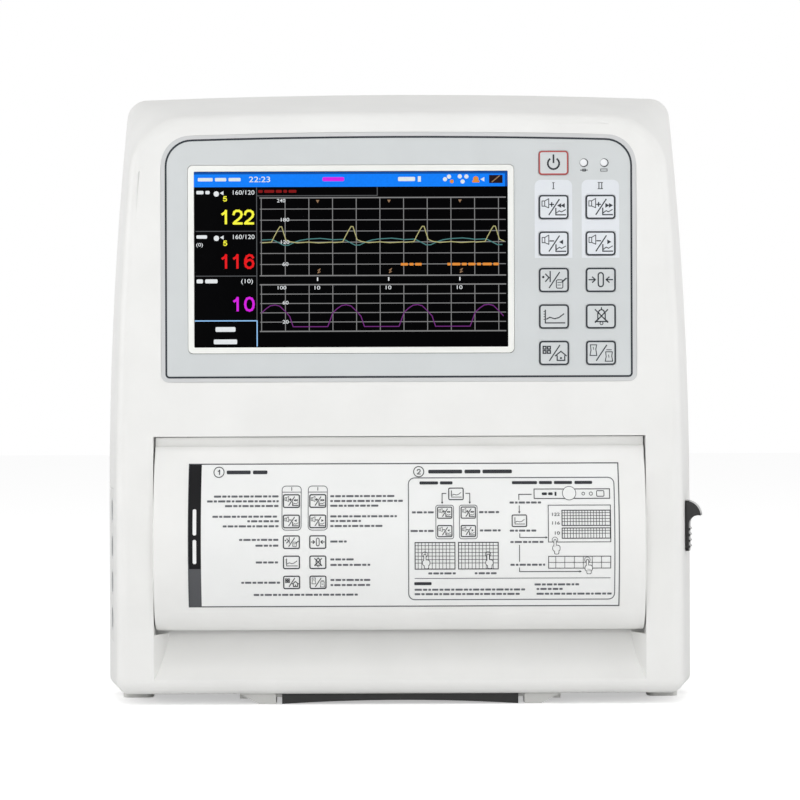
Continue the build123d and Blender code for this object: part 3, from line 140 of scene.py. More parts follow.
@contextmanager
def editing() -> Iterator[None]:
    """Keeps the active piece in edit mode while its block runs."""
    bpy.ops.object.mode_set(mode="EDIT")
    yield
    bpy.ops.object.mode_set(mode="OBJECT")


def select_parts(piece: bpy.types.Object, kind: str, wanted: Callable[..., bool]) -> None:
    """Selects some corners or edges of the active piece.

    Args:
        piece: The object.
        kind: VERT for its corners or EDGE for its edges.
        wanted: Tells which ones are selected.
    """
    with editing():
        bpy.ops.mesh.select_mode(type=kind)
        bpy.ops.mesh.select_all(action="DESELECT")
    for part in piece.data.vertices if kind == "VERT" else piece.data.edges:
        part.select = wanted(part)


def set_inputs(node: bpy.types.Node, **values: object) -> bpy.types.Node:
    """Sets input sockets of a shader node.

    Args:
        node: The node.
        values: What they get, by their names with underscores for spaces.

    Returns:
        The same node.
    """
    for name, value in values.items():
        node.inputs[name.replace("_", " ")].default_value = value
    return node


def add_node(tree: bpy.types.NodeTree, kind: str, **values: object) -> bpy.types.Node:
    """Adds a shader node to a tree.

    Args:
        tree: The node tree.
        kind: The node's type, such as TexNoise.
        values: Its inputs, as set_inputs takes them.

    Returns:
        The node.
    """
    return set_inputs(tree.nodes.new(f"ShaderNode{kind}"), **values)


def link(source: bpy.types.NodeSocket, node: bpy.types.Node, name: str | int) -> None:
    """Links an output to an input.

    Args:
        source: The output's socket.
        node: The node that takes it.
        name: The input's name or number.
    """
    node.id_data.links.new(source, node.inputs[name])


@dataclass(frozen=True)
class Finish:
    """A surface with a fine grain, a slow change of tint and an uneven sheen.

    grain and patch are the sizes of the texture and of the tint's change, and
    relief is the texture's height. mottle is the share that the tint changes,
    and uneven is how far the roughness strays to both sides.
    """

    name: str
    colour: Colour
    roughness: float = 0.42
    grain: float = 0.55
    relief: float = 0.008
    patch: float = 30.0
    mottle: float = 0.02
    metallic: float = 0.0
    coat: float = 0.0
    specular: float = 0.5
    stretch: tuple[float, float, float] = (1.0, 1.0, 1.0)
    uneven: float = 0.06
    coat_roughness: float = 0.08
    bump: float = 0.6
    stops: Point = (0.3, 0.7)

    def _noise(self, tree: bpy.types.NodeTree, size: float, detail: float) -> bpy.types.NodeSocket:
        """Adds a noise texture on object coordinates.

        Args:
            tree: The material's node tree.
            size: The size of its features.
            detail: How many octaves it has.

        Returns:
            The socket that gives the noise.
        """
        mapping = add_node(tree, "Mapping", Scale=self.stretch)
        noise = add_node(tree, "TexNoise", Scale=1.0 / (size * MM), Detail=detail)
        link(add_node(tree, "TexCoord").outputs["Object"], mapping, "Vector")
        link(mapping.outputs["Vector"], noise, "Vector")
        return noise.outputs["Fac"]

    def _tint(self, tree: bpy.types.NodeTree) -> bpy.types.NodeSocket:
        """Builds the surface's colour.

        Args:
            tree: The material's node tree.

        Returns:
            The socket that gives the colour.
        """
        ramp = add_node(tree, "ValToRGB")
        for element, stop, side in zip(ramp.color_ramp.elements, self.stops, (-1.0, 1.0)):
            element.position = stop
            element.color = linear(self.colour, 1.0 + side * self.mottle)
        link(self._noise(tree, self.patch, 3.0), ramp, "Fac")
        return ramp.outputs["Color"]

    def _paint(self, tree: bpy.types.NodeTree, shader: bpy.types.Node) -> None:
        """Links the tree's colour to its shader."""
        link(self._tint(tree), shader, "Base Color")

    def material(self) -> bpy.types.Material:
        """Makes the finish's material, or finds it when it is there already.

        Returns:
            The material.
        """
        found = bpy.data.materials.get(self.name)
        if found:
            return found
        made = bpy.data.materials.new(self.name)
        made.use_nodes = True
        tree = made.node_tree
        shader = set_inputs(tree.nodes["Principled BSDF"], Metallic=self.metallic, Coat_Weight=self.coat,
                            Coat_Roughness=self.coat_roughness, Specular_IOR_Level=self.specular)
        grain = self._noise(tree, self.grain, 2.0)
        sheen = add_node(tree, "MapRange", To_Min=max(self.roughness - self.uneven, 0.02),
                         To_Max=min(self.roughness + self.uneven, 1.0))
        bump = add_node(tree, "Bump", Strength=self.bump, Distance=self.relief * MM)
        link(grain, sheen, "Value")
        link(sheen.outputs["Result"], shader, "Roughness")
        link(grain, bump, "Height")
        link(bump.outputs["Normal"], shader, "Normal")
        self._paint(tree, shader)
        return made


@dataclass(frozen=True)
class Glow(Finish):
    """A lit colour of the display, over a nearly black ground."""

    ground: tuple[float, float, float, float] = (0.004, 0.004, 0.005, 1.0)

    def _paint(self, tree: bpy.types.NodeTree, shader: bpy.types.Node) -> None:
        """Links the tree's colour to its shader's light instead of the surface."""
        set_inputs(shader, Base_Color=self.ground, Emission_Strength=1.0)
        link(self._tint(tree), shader, "Emission Color")


@dataclass(frozen=True)
class Circuit(Finish):
    """A circuit board's lacquer with lighter tracks under it."""

    pitch: float = 9.0
    track: float = 0.03

    def _tint(self, tree: bpy.types.NodeTree) -> bpy.types.NodeSocket:
        """Lays tracks over the lacquer's colour.

        Args:
            tree: The material's node tree.

        Returns:
            The socket that gives the colour.
        """
        turn = add_node(tree, "Mapping", Rotation=UPRIGHT)
        tracks = add_node(tree, "TexBrick", Scale=1.0 / (self.pitch * MM), Mortar_Size=self.track,
                          Color1=linear(self.colour), Color2=linear(self.colour, 0.8),
                          Mortar=linear(self.colour, 2.2))
        link(add_node(tree, "TexCoord").outputs["Object"], turn, "Vector")
        link(turn.outputs["Vector"], tracks, "Vector")
        return tracks.outputs["Color"]


SHELL = Finish("shell_plastic", (236, 236, 234), roughness=0.4)
DOOR = Finish("door_plastic", (238, 238, 236), roughness=0.36)
INNER = Finish("inner_plastic", (222, 222, 219), roughness=0.5, grain=0.9)
OVERLAY = Finish("overlay_film", (206, 210, 211), roughness=0.34, grain=0.25, relief=0.004)
OVERLAY_LIGHT = replace(OVERLAY, name="overlay_light_print", colour=(222, 226, 231), relief=0.003)
# Rim grey of the overlay's edge with the shade of its bevel painted in, as one flat ring a little darker and
# greyer than the overlay.
OVERLAY_RIM_AND_SHADE = replace(OVERLAY_LIGHT, name="overlay_edge_print", colour=(205, 206, 207), roughness=0.36)
INK = Finish("dark_print", (52, 56, 62), roughness=0.45, grain=0.2, relief=0.002, patch=3.0, mottle=0.08,
             specular=0.2)
RED_INK = replace(INK, name="red_print", colour=(172, 70, 68), specular=0.5)
BEZEL = Finish("bezel_plastic", (239, 240, 236), roughness=0.22, grain=0.4, relief=0.002, coat=0.3)
GLASS = Finish("display_glass", (2, 2, 3), roughness=0.16, grain=6.0, relief=0.001, mottle=0.2,
               specular=0.015)
LENS = Finish("lamp_lens", (236, 238, 240), roughness=0.18, grain=0.6, relief=0.004, coat=0.4)
LABEL = Finish("guide_sheet", (238, 239, 238), roughness=0.38, grain=0.3, relief=0.003, mottle=0.012)
LABEL_INK = Finish("guide_print", (50, 52, 56), roughness=0.5, grain=0.2, relief=0.001, patch=2.0,
                   mottle=0.1, specular=0.2)
LABEL_GREY = replace(LABEL_INK, name="guide_grey_print", colour=(100, 102, 106))
LABEL_BLACK = Finish("guide_black_print", (22, 22, 24), roughness=0.42, grain=0.3, relief=0.002,
                     mottle=0.1, specular=0.12)
LABEL_DIM = replace(LABEL_BLACK, name="guide_dim_print", colour=(84, 85, 88), mottle=0.06, specular=0.2)
LATCH = Finish("latch_plastic", (14, 14, 15), roughness=0.2, grain=0.6, relief=0.003, mottle=0.2,
               coat=0.15, specular=0.3)
FOOT = Finish("foot_plastic", (232, 232, 229), roughness=0.42)
GRIP = Finish("grip_rubber", (30, 30, 29), roughness=0.62, grain=0.8, relief=0.03, mottle=0.12,
              specular=0.15)
PAD = Finish("pad_rubber_skin", (224, 224, 221), roughness=0.8, grain=0.9, relief=0.04, mottle=0.12)
STEEL = Finish("zinc_steel", (190, 192, 194), roughness=0.32, grain=0.5, relief=0.004, patch=9.0,
               mottle=0.1, metallic=1.0, stretch=(0.08, 1.0, 1.0))
ALUMINIUM = Finish("sink_aluminium_skin", (206, 208, 210), roughness=0.34, grain=0.4, relief=0.004,
                   patch=8.0, mottle=0.06, metallic=1.0, stretch=(0.05, 1.0, 1.0))
BRASS = Finish("turned_brass", (214, 176, 98), roughness=0.28, grain=0.2, relief=0.003, patch=3.0,
               mottle=0.1, metallic=1.0)
BOARD = Circuit("board_lacquer", (28, 92, 58), roughness=0.35, relief=0.01)
NYLON = Finish("gear_acetal", (228, 225, 214), roughness=0.46, grain=0.4)
ROLLER = Finish("platen_skin", (46, 46, 48), roughness=0.72, grain=0.25, relief=0.015, mottle=0.1)
CERAMIC = Finish("head_glaze", (96, 84, 74), roughness=0.16, grain=1.2, relief=0.002, coat=0.6)
PANEL = Finish("panel_plastic", (230, 230, 228), roughness=0.44, grain=0.7, relief=0.012)
SOCKET = Finish("socket_plastic", (206, 208, 208), roughness=0.4, grain=0.7, relief=0.015)
DARK_SOCKET = Finish("dark_socket_plastic", (34, 34, 36), roughness=0.5, grain=0.7, relief=0.02)
CELL_WRAP = Finish("battery_wrap", (58, 74, 112), roughness=0.3, grain=1.4, relief=0.01, coat=0.2)


DIGIT_STROKES: dict[str, tuple[Point, ...]] = {
    "0": ((0.5, 0.0), (0.22, 0.06), (0.05, 0.26), (0.0, 0.5), (0.05, 0.74), (0.22, 0.94), (0.5, 1.0),
          (0.78, 0.94), (0.95, 0.74), (1.0, 0.5), (0.95, 0.26), (0.78, 0.06), (0.5, 0.0)),
    "1": ((0.04, 0.27), (0.3, 0.16), (0.46, 0.0), (0.46, 1.0)),
    "2": ((0.02, 0.28), (0.12, 0.09), (0.34, 0.0), (0.66, 0.0), (0.9, 0.1), (0.98, 0.29), (0.88, 0.48),
          (0.56, 0.69), (0.2, 0.87), (0.04, 1.0), (1.0, 1.0)),
    "5": ((0.92, 0.0), (0.2, 0.0), (0.08, 0.5), (0.36, 0.38), (0.7, 0.4), (0.95, 0.55), (0.97, 0.78),
          (0.75, 0.97), (0.3, 1.0), (0.02, 0.84)),
    "6": ((0.95, 0.2), (0.8, 0.04), (0.5, 0.0), (0.22, 0.1), (0.05, 0.35), (0.02, 0.64), (0.12, 0.88),
          (0.36, 1.0), (0.64, 1.0), (0.9, 0.88), (0.98, 0.67), (0.88, 0.46), (0.62, 0.37), (0.3, 0.42),
          (0.05, 0.62)),
}
DIGIT_GAP = 0.32
CORNER_OVERLAP = 0.7
WORD_LENGTHS = (4.2, 2.4, 5.4, 3.2, 2.0, 4.7, 2.9)
WORD_HEIGHT = 1.5
WORD_GAP = 0.55
WORD_CORNER = 0.3
CORNER_SEGMENTS = 5
CIRCLE_SIDES = 24
LEFT, DOWN, RIGHT = 90.0, 180.0, 270.0


class Shape(Enum):
    """What kind of mark a print has."""

    BAR = "bar"
    FRAME = "frame"
    DISC = "disc"
    RING = "ring"
    ARROW = "arrow"
    NUMBER = "number"


@dataclass(frozen=True)
class Mark:
    """One flat mark, about its middle, in drawing units and degrees."""

    shape: Shape
    x: float
    y: float
    width: float
    height: float
    line: float = 0.0
    corner: float = 0.0
    turn: float = 0.0
    text: str = ""


@dataclass(frozen=True)
class Placing:
    """Where a drawing lies: its point (x0, y0) is at (x, z) on the unit."""

    x0: float
    y0: float
    x: float
    z: float
    unit: float
    unit_z: float = 0.0

    @property
    def down(self) -> float:
        """The height of a drawing unit."""
        return self.unit_z or self.unit

    def put(self, x: float, y: float, depth: float) -> tuple[float, float, float]:
        """Returns the place in metres of the drawing's point (x, y), at a depth along Y."""
        across, up = self.x + (x - self.x0) * self.unit, self.z - (y - self.y0) * self.down
        return (across * MM, depth * MM, up * MM)


class Drawing:
    """Flat marks of one ink, in drawing units."""

    def __init__(self) -> None:
        """Starts with no marks."""
        self.marks: list[Mark] = []

    def _fill(self, shape: Shape, box: Box, **more: float | str) -> None:
        """Adds a mark that fills a box, with its other values by name."""
        left, top, right, low = box
        self.marks.append(Mark(shape, (left + right) / 2, (top + low) / 2, right - left, low - top, **more))

    def bar(self, left: float, top: float, right: float, low: float, corner: float = 0.0) -> None:
        """Adds a filled box with corners of a radius."""
        self._fill(Shape.BAR, (left, top, right, low), corner=corner)

    def frame(self, left: float, top: float, right: float, low: float, line: float,
              corner: float = 0.0) -> None:
        """Adds a box's outline of a line width, drawn inwards, with corners of a radius."""
        self._fill(Shape.FRAME, (left, top, right, low), line=line, corner=corner)

    def number(self, text: str, left: float, top: float, right: float, low: float) -> None:
        """Adds a number that fills a box."""
        self._fill(Shape.NUMBER, (left, top, right, low), text=text)

    def disc(self, x: float, y: float, radius: float) -> None:
        """Adds a filled circle about (x, y)."""
        self.marks.append(Mark(Shape.DISC, x, y, radius, radius))

    def ring(self, x: float, y: float, radius: float, line: float) -> None:
        """Adds a circle's outline about (x, y), drawn inwards."""
        self.marks.append(Mark(Shape.RING, x, y, radius, radius, line=line))

    def arrow(self, x: float, y: float, radius: float, turn: float) -> None:
        """Adds an arrowhead about (x, y), pointing up when turn is 0 and left at 90."""
        self.marks.append(Mark(Shape.ARROW, x, y, radius, radius, turn=turn))

    def path(self, line: float, *points: Point) -> None:
        """Adds a bent line.

        Args:
            line: Its width.
            points: Its corners.
        """
        for (xa, ya), (xb, yb) in zip(points, points[1:]):
            length = math.hypot(xb - xa, yb - ya) + line * CORNER_OVERLAP
            turn = math.degrees(math.atan2(ya - yb, xb - xa))
            self.marks.append(Mark(Shape.BAR, (xa + xb) / 2, (ya + yb) / 2, length, line, turn=turn))

    def digits(self, text: str, left: float, top: float, low: float, wide: float, line: float) -> None:
        """Adds upright digits of even pitch, drawn with one stroke each.

        Args:
            text: The digits.
            left: Where the first one's cell starts.
            top: Their upper side.
            low: Their lower side.
            wide: The width of a digit.
            line: The stroke's width.
        """
        for index, digit in enumerate(text):
            start = left + index * (wide + line * DIGIT_GAP) + line / 2
            points = [(start + x * (wide - line), top + line / 2 + y * (low - top - line))
                      for x, y in DIGIT_STROKES[digit]]
            self.path(line, *points)
            for x, y in points[1:-1]:
                self.disc(x, y, line / 2)

    def words(self, left: float, y: float, right: float, height: float) -> None:
        """Adds a line of short dashes that stands for a line of small print.

        Args:
            left: Where the line starts.
            y: Its middle.
            right: Where it ends.
            height: The dashes' height.
        """
        place, turn = left, int(left + y) % len(WORD_LENGTHS)
        while place < right - height:
            end = min(place + WORD_LENGTHS[turn] * height / WORD_HEIGHT, right)
            self.bar(place, y - height / 2, end, y + height / 2, height * WORD_CORNER)
            place, turn = end + height * WORD_GAP, (turn + 1) % len(WORD_LENGTHS)

    def grid(self, columns: Iterable[float], rows: Iterable[float], box: Box, line: float) -> None:
        """Adds upright lines at columns and level lines at rows inside a box.

        Args:
            columns: Their places across.
            rows: Their places down.
            box: The box.
            line: The lines' width.
        """
        left, top, right, low = box
        for x in columns:
            self.bar(x - line / 2, top, x + line / 2, low)
        for y in rows:
            self.bar(left, y - line / 2, right, y + line / 2)

    def draw(self, **rows: Iterable[tuple]) -> "Drawing":
        """Adds many marks from rows of arguments.

        Args:
            rows: The rows, by the name of the method that takes them.

        Returns:
            The same drawing.
        """
        for kind, arguments in rows.items():
            for row in arguments:
                getattr(self, kind)(*row)
        return self

    def add(self, other: "Drawing", x: float, y: float, share: float = 1.0) -> None:
        """Copies another drawing's marks about (x, y), at a share of their size."""
        for mark in other.marks:
            self.marks.append(Mark(mark.shape, x + mark.x * share, y + mark.y * share, mark.width * share,
                                   mark.height * share, mark.line * share, mark.corner * share, mark.turn,
                                   mark.text))


@dataclass
class Print:
    """One ink's marks on a surface that faces the front."""

    name: str
    body: str
    finish: Finish
    slot: str
    depth: float
    thickness: float = 0.03
    wrap: str = ""
    step: float = 2.4
    weight: float = 0.004

    def _flat(self, mark: Mark, place: Placing) -> None:
        """Adds a mark that isn't a number to the mesh in edit mode.

        Args:
            mark: The mark.
            place: Where the drawing lies.
        """
        at = place.put(mark.x, mark.y, self.depth)
        unit = place.unit * MM
        if mark.shape in (Shape.BAR, Shape.FRAME):
            size = (mark.width * unit, 1.0, mark.height * (place.down * MM))
            bpy.ops.mesh.primitive_plane_add(size=1.0, location=at, rotation=UPRIGHT)
            bpy.ops.transform.resize(value=size, center_override=at)
            if mark.corner:
                bpy.ops.mesh.bevel(offset=mark.corner * unit, segments=CORNER_SEGMENTS, affect="VERTICES")
        else:
            sides = 3 if mark.shape is Shape.ARROW else CIRCLE_SIDES
            bpy.ops.mesh.primitive_circle_add(vertices=sides, radius=mark.width * unit, fill_type="NGON",
                                              location=at, rotation=UPRIGHT)
        if mark.turn:
            bpy.ops.transform.rotate(value=math.radians(mark.turn), orient_axis="Y", center_override=at)
        if mark.shape in (Shape.FRAME, Shape.RING):
            bpy.ops.mesh.inset(thickness=mark.line * unit)
            bpy.ops.mesh.delete(type="FACE")

    def _number(self, mark: Mark, place: Placing) -> bpy.types.Object:
        """Makes a number as a mesh of its own.

        Args:
            mark: The mark.
            place: Where the drawing lies.

        Returns:
            The number's object.
        """
        clear_selection()
        bpy.ops.object.text_add(location=(0.0, 0.0, 0.0))
        digits = bpy.context.object
        digits.data.body = mark.text
        digits.data.resolution_u = 4
        digits.data.offset = self.weight
        bpy.context.view_layer.update()
        wide, high = digits.dimensions.x, digits.dimensions.y
        bpy.ops.object.convert(target="MESH")
        low = Vector(digits.bound_box[0])
        digits.location = (-low.x - wide / 2, -low.y - high / 2, 0.0)
        settle(digits)
        size = (mark.width * (place.unit * MM), mark.height * (place.down * MM))
        digits.scale = (size[0] / wide, size[1] / high, 1.0)
        digits.rotation_euler = UPRIGHT
        digits.location = place.put(mark.x, mark.y, self.depth)
        return settle(digits)

    def _slice(self, piece: bpy.types.Object) -> None:
        """Cuts the marks level by level, so that they can follow a curve.

        Args:
            piece: The print's object.
        """
        low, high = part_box(self.wrap)
        pick(piece)
        with editing():
            for index in range(1, int((high.z - low.z) / (self.step * MM)) + 1):
                level = low.z + index * self.step * MM
                bpy.ops.mesh.select_all(action="SELECT")
                bpy.ops.mesh.bisect(plane_co=(0.0, 0.0, level), plane_no=(0.0, 0.0, 1.0))

    def press(self, drawing: Drawing, place: Placing, nodes: dict[str, bpy.types.Object]) -> None:
        """Builds the marks as one thin piece and lays it on its surface.

        Args:
            drawing: The marks.
            place: Where the drawing lies.
            nodes: The CAD nodes by name.
        """
        clear_selection()
        bpy.ops.mesh.primitive_plane_add(size=MM)
        piece = bpy.context.object
        piece.name = self.name
        with editing():
            bpy.ops.mesh.delete(type="VERT")
            for mark in drawing.marks:
                if mark.shape is not Shape.NUMBER:
                    self._flat(mark, place)
        numbers = [self._number(mark, place) for mark in drawing.marks if mark.shape is Shape.NUMBER]
        if numbers:
            pick(piece)
            for number in numbers:
                number.select_set(True)
            bpy.ops.object.join()
        if self.wrap:
            self._slice(piece)
            apply_modifier(piece, "SHRINKWRAP", target=nodes[self.wrap], wrap_method="PROJECT",
                           use_project_y=True, use_negative_direction=False,
                           use_positive_direction=True, offset=self.thickness * MM)
        apply_modifier(piece, "SOLIDIFY", thickness=self.thickness * MM, offset=1.0)
        piece.data.materials.clear()
        piece.data.materials.append(self.finish.material())
        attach(piece, self.body)
        log.info("print %s: %d marks", self.name, len(drawing.marks))


@dataclass
class Dressed:
    """A sub-assembly whose CAD nodes get their finishes."""

    frame: dict[str, object]

    def dress(self, finish: Finish, *names: str) -> None:
        """Gives CAD nodes a finish.

        Args:
            finish: The finish.
            names: The nodes' names.
        """
        for name in names:
            node = self.frame["nodes"][name]
            if not node.material_slots:
                node.data.materials.append(finish.material())
            for holder in node.material_slots:
                holder.material = finish.material()
        log.info("%s on %s", finish.name, ", ".join(names))


@dataclass
class Housing(Dressed):
    """Front and rear shells with their screws, pads and rear fittings."""

    plate_width: float = 66.0
    plate_height: float = 32.0
    plate_x: float = -82.0
    plate_z: float = 246.0
    plate_corner: float = 3.0
    plate_rim: float = 1.2
    plate_slope: float = 0.4
    plate_sink: float = 0.2
    plate_thickness: float = 0.45

    def rear_plate(self) -> None:
        """Builds the bare plate on the rear shell with its raised rim."""
        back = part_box("rear_housing")[1].y
        at = (self.plate_x * MM, back, self.plate_z * MM)
        clear_selection()
        bpy.ops.mesh.primitive_plane_add(size=1.0, location=at, rotation=(-math.pi / 2, 0.0, 0.0))
        plate = bpy.context.object
        plate.name = "rear_blank_plate"
        with editing():
            size = (self.plate_width * MM, 1.0, self.plate_height * MM)
            bpy.ops.transform.resize(value=size, center_override=at)
            bpy.ops.mesh.bevel(offset=self.plate_corner * MM, segments=6, affect="VERTICES")
            bpy.ops.mesh.inset(thickness=self.plate_rim * MM)
            bpy.ops.mesh.inset(thickness=self.plate_slope * MM)
            bpy.ops.transform.translate(value=(0.0, self.plate_sink * MM, 0.0))
        settle(plate)
        apply_modifier(plate, "SOLIDIFY", thickness=self.plate_thickness * MM, offset=1.0)
        plate.data.materials.append(OVERLAY.material())
        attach(plate, "housing")

    def build(self) -> None:
        """Dresses the shells and adds the plate."""
        self.dress(SHELL, "front_housing", "rear_housing", "battery_cover")
        self.dress(STEEL, "housing_screws")
        self.dress(BRASS, "plate_inserts")
        self.dress(PAD, "rubber_pads")
        self.dress(CELL_WRAP, "battery_pack")
        self.dress(DARK_SOCKET, "speaker")
        self.rear_plate()


@dataclass
class DisplayUnit(Dressed):
    """Bezel, glass and the lit picture, whose marks follow the photograph.

    columns, upper and lower are the grids' lines, waves is where each wave of
    the traces starts, and rise, dip and hump are one wave of each. rates are
    the large digits and qualities the small ones above them, and large and
    small are the width and stroke of both. heads is where each rate's channel
    starts, and marks are the times marked between the plots.
    """

    place: Placing = Placing(194.25, 171.0, -100.45, 262.2, 0.4907, 0.4909)
    title: Box = (194.3, 173.6, 508.2, 186.4)
    title_top: float = 171.4
    title_end: float = 505.6
    menu: tuple[Point, ...] = ((195.0, 320.2), (257.0, 320.2), (257.0, 345.5))
    sign_box: Box = (489.7, 175.1, 503.2, 183.2)
    plot: Point = (261.0, 506.5)
    columns: tuple[float, ...] = (261.5, 285.4, 309.2, 332.9, 356.6, 380.3, 404.0, 427.7, 451.4, 475.1, 499.0)
    upper: tuple[float, ...] = (197.3, 208.5, 219.6, 230.7, 241.8, 252.9, 263.9, 275.2)
    lower: tuple[float, ...] = (284.2, 293.6, 303.0, 312.3, 321.6, 330.9)
    line: float = 0.8
    grid_sides: Point = (260.2, 506.2)
    edge_sides: Point = (259.8, 506.4)
    edge: float = 0.6
    divider: float = 256.9
    divider_levels: Point = (230.6, 275.4)
    divider_box: Box = (195.8, 186.6, 256.8, 320.0)
    tab: tuple[Point, ...] = ((257.2, 195.2), (377.7, 195.2), (377.7, 187.0))
    trace: float = 0.9
    waves: tuple[float, ...] = (280.7, 352.0, 423.2, 494.5)
    rise: tuple[Point, ...] = (
        (-18.5, 242.3), (-9.0, 241.6), (-6.5, 236.5), (-2.8, 229.6), (-0.6, 226.2), (1.3, 226.3),
        (2.6, 230.6), (5.4, 239.4), (10.0, 241.3), (17.0, 242.4), (28.0, 241.6), (38.0, 242.5), (52.0, 241.8))
    dip: tuple[Point, ...] = (
        (-18.5, 239.4), (-8.0, 239.0), (-3.0, 241.5), (3.6, 244.9), (8.0, 244.7), (14.0, 241.8),
        (20.0, 239.8), (28.0, 238.6), (40.0, 238.0), (46.0, 238.6), (52.4, 239.4))
    hump: tuple[Point, ...] = (
        (-13.6, 312.4), (-9.0, 308.2), (-4.6, 305.2), (0.0, 304.5), (4.6, 305.6), (10.2, 311.0),
        (14.6, 316.0), (18.0, 326.3), (52.6, 326.3), (55.0, 320.0), (57.8, 312.4))
    hump_shift: float = -5.6
    rates: tuple[tuple[str, float, float, float], ...] = (
        ("122", 221.1, 209.0, 223.9), ("116", 221.1, 253.4, 268.3), ("10", 232.6, 296.2, 311.1))
    qualities: tuple[tuple[str, float, float, float], ...] = (
        ("5", 223.2, 195.4, 200.8), ("5", 223.2, 239.8, 245.2))
    heads: Point = (190.0, 234.4)
    marks: tuple[float, ...] = (317.7, 388.9, 460.1)
    scale: tuple[tuple[str, float, float, float], ...] = (
        ("240", 277.4, 198.3, 285.6), ("180", 281.2, 217.4, 289.6), ("120", 281.2, 239.8, 289.6),
        ("60", 282.6, 261.8, 288.6), ("100", 277.8, 285.4, 286.4), ("60", 282.6, 300.4, 288.6),
        ("20", 282.6, 319.6, 288.6))
    numbers: tuple[tuple[str, float, float, float, float], ...] = (
        ("(0)", 196.4, 242.2, 203.0, 246.8), ("(10)", 241.2, 278.4, 253.0, 283.8),
        ("22:23", 249.4, 176.0, 270.6, 181.6), ("1", 418.4, 176.2, 421.4, 181.6))
    dots: tuple[Point, ...] = ((445.6, 179.2), (449.6, 176.6), (460.4, 176.4), (463.2, 181.6), (467.0, 176.6))
    title_pill: tuple[float, ...] = (323.0, 176.8, 344.6, 180.8, 1.2)
    pills: tuple[tuple[float, ...], ...] = (
        (215.4, 326.4, 235.4, 331.2, 1.2), (213.6, 338.8, 237.0, 343.6, 1.2),
        (198.2, 177.2, 213.0, 180.6, 0.8), (215.4, 177.2, 226.6, 180.6, 0.8),
        (229.0, 177.2, 241.0, 180.6, 0.8), (398.6, 176.8, 415.6, 181.0, 1.0))
    large: Point = (10.7, 2.3)
    small: Point = (4.2, 1.0)
    film: float = 0.015
    layer_step: float = 0.03
    layer: int = 0

    def light(self, name: str, colour: Colour, **rows: Iterable[tuple]) -> None:
        """Adds one colour of the picture, each just in front of the last.

        Args:
            name: The colour's name.
            colour: Its levels.
            rows: Its marks, as Drawing.draw takes them.
        """
        self.layer += 1
        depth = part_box("screen_glass")[0].y / MM - self.layer_step * self.layer
        finish = Glow(f"picture_{name}", colour, roughness=0.25, grain=0.3, relief=0.0, patch=1.2,
                      mottle=0.05, specular=0.03)
        ink = Print(f"picture_{name}", "housing", finish, "display_dark", depth, self.film)
        ink.press(Drawing().draw(**rows), self.place, self.frame["nodes"])

    def bars(self) -> None:
        """Draws the title bar, the box of its last sign and the menu's outline."""
        left, top, right, low = self.title
        self.light("blue", (4, 126, 250), bar=[self.title])
        self.light("deep_blue", (6, 78, 164), bar=[(left, self.title_top, right, top),
                                                   (self.title_end, top, right, low)])
        self.light("pale_blue", (150, 200, 248), path=[(1.1, *self.menu)])
        self.light("box", (30, 10, 12), bar=[self.sign_box])

    def plots(self) -> None:
        """Draws the two plots' grids and the dividers."""
        left, right = self.grid_sides
        edge_left, edge_right = self.edge_sides
        grids = [(self.columns, rows, (left, rows[0], right, rows[-1]), self.line)
                 for rows in (self.upper, self.lower)]
        edges = [(edge_left, y - self.edge, edge_right, y + self.edge)
                 for rows in (self.upper, self.lower) for y in (rows[0], rows[-1])]
        self.light("grid", (128, 128, 128), grid=grids, bar=edges)
        self.light("dividers", (84, 86, 88),
                   grid=[((self.divider,), self.divider_levels, self.divider_box, self.line)],
                   path=[(self.line, *self.tab)])

    def traces(self) -> None:
        """Draws the two rate traces and the pressure trace."""
        left, right = self.plot
        for name, colour, wave, shift in (("teal_trace", (76, 128, 126), self.dip, 0.0),
                                          ("pale_trace", (176, 172, 118), self.rise, 0.0),
                                          ("violet_trace", (112, 42, 122), self.hump, self.hump_shift)):
            runs = [[(start + shift + x, y) for x, y in wave if left < start + shift + x < right]
                    for start in self.waves]
            self.light(name, colour, path=[(self.trace, *run) for run in runs])

    def readouts(self) -> None:
        """Draws the numbers and the greeked words."""
        first, second, third = self.rates
        self.light("yellow", (250, 246, 66),
                   digits=[(*first, *self.large), *((*row, *self.small) for row in self.qualities)])
        self.light("red", (232, 22, 26), digits=[(*second, *self.large)])
        self.light("magenta", (216, 34, 226), digits=[(*third, *self.large)], bar=[self.title_pill])
        heads, marks = self.heads, self.marks
        self.light(
            "white", (226, 230, 232),
            words=[*((196.6, y + 1.8, 210.0, 3.4) for y in heads), (196.6, 280.6, 217.6, 4.0)],
            number=[*(("160/120", 233.2, y - 0.4, 254.8, y + 4.0) for y in heads), *self.numbers,
                    *((text, left, top, right, top + 3.6) for text, left, top, right in self.scale),
                    *(("10", x - 3.0, 285.4, x + 2.6, 289.2) for x in marks)],
            disc=[*((216.6, y + 3.2, 2.7) for y in heads), *((x, y, 2.1) for x, y in self.dots)],
            arrow=[*((222.6, y + 2.4, 2.4, LEFT) for y in heads), (483.6, 179.4, 2.6, LEFT)],
            bar=[*self.pills, *((x - 0.6, 277.0, x + 0.6, 280.6) for x in marks)])

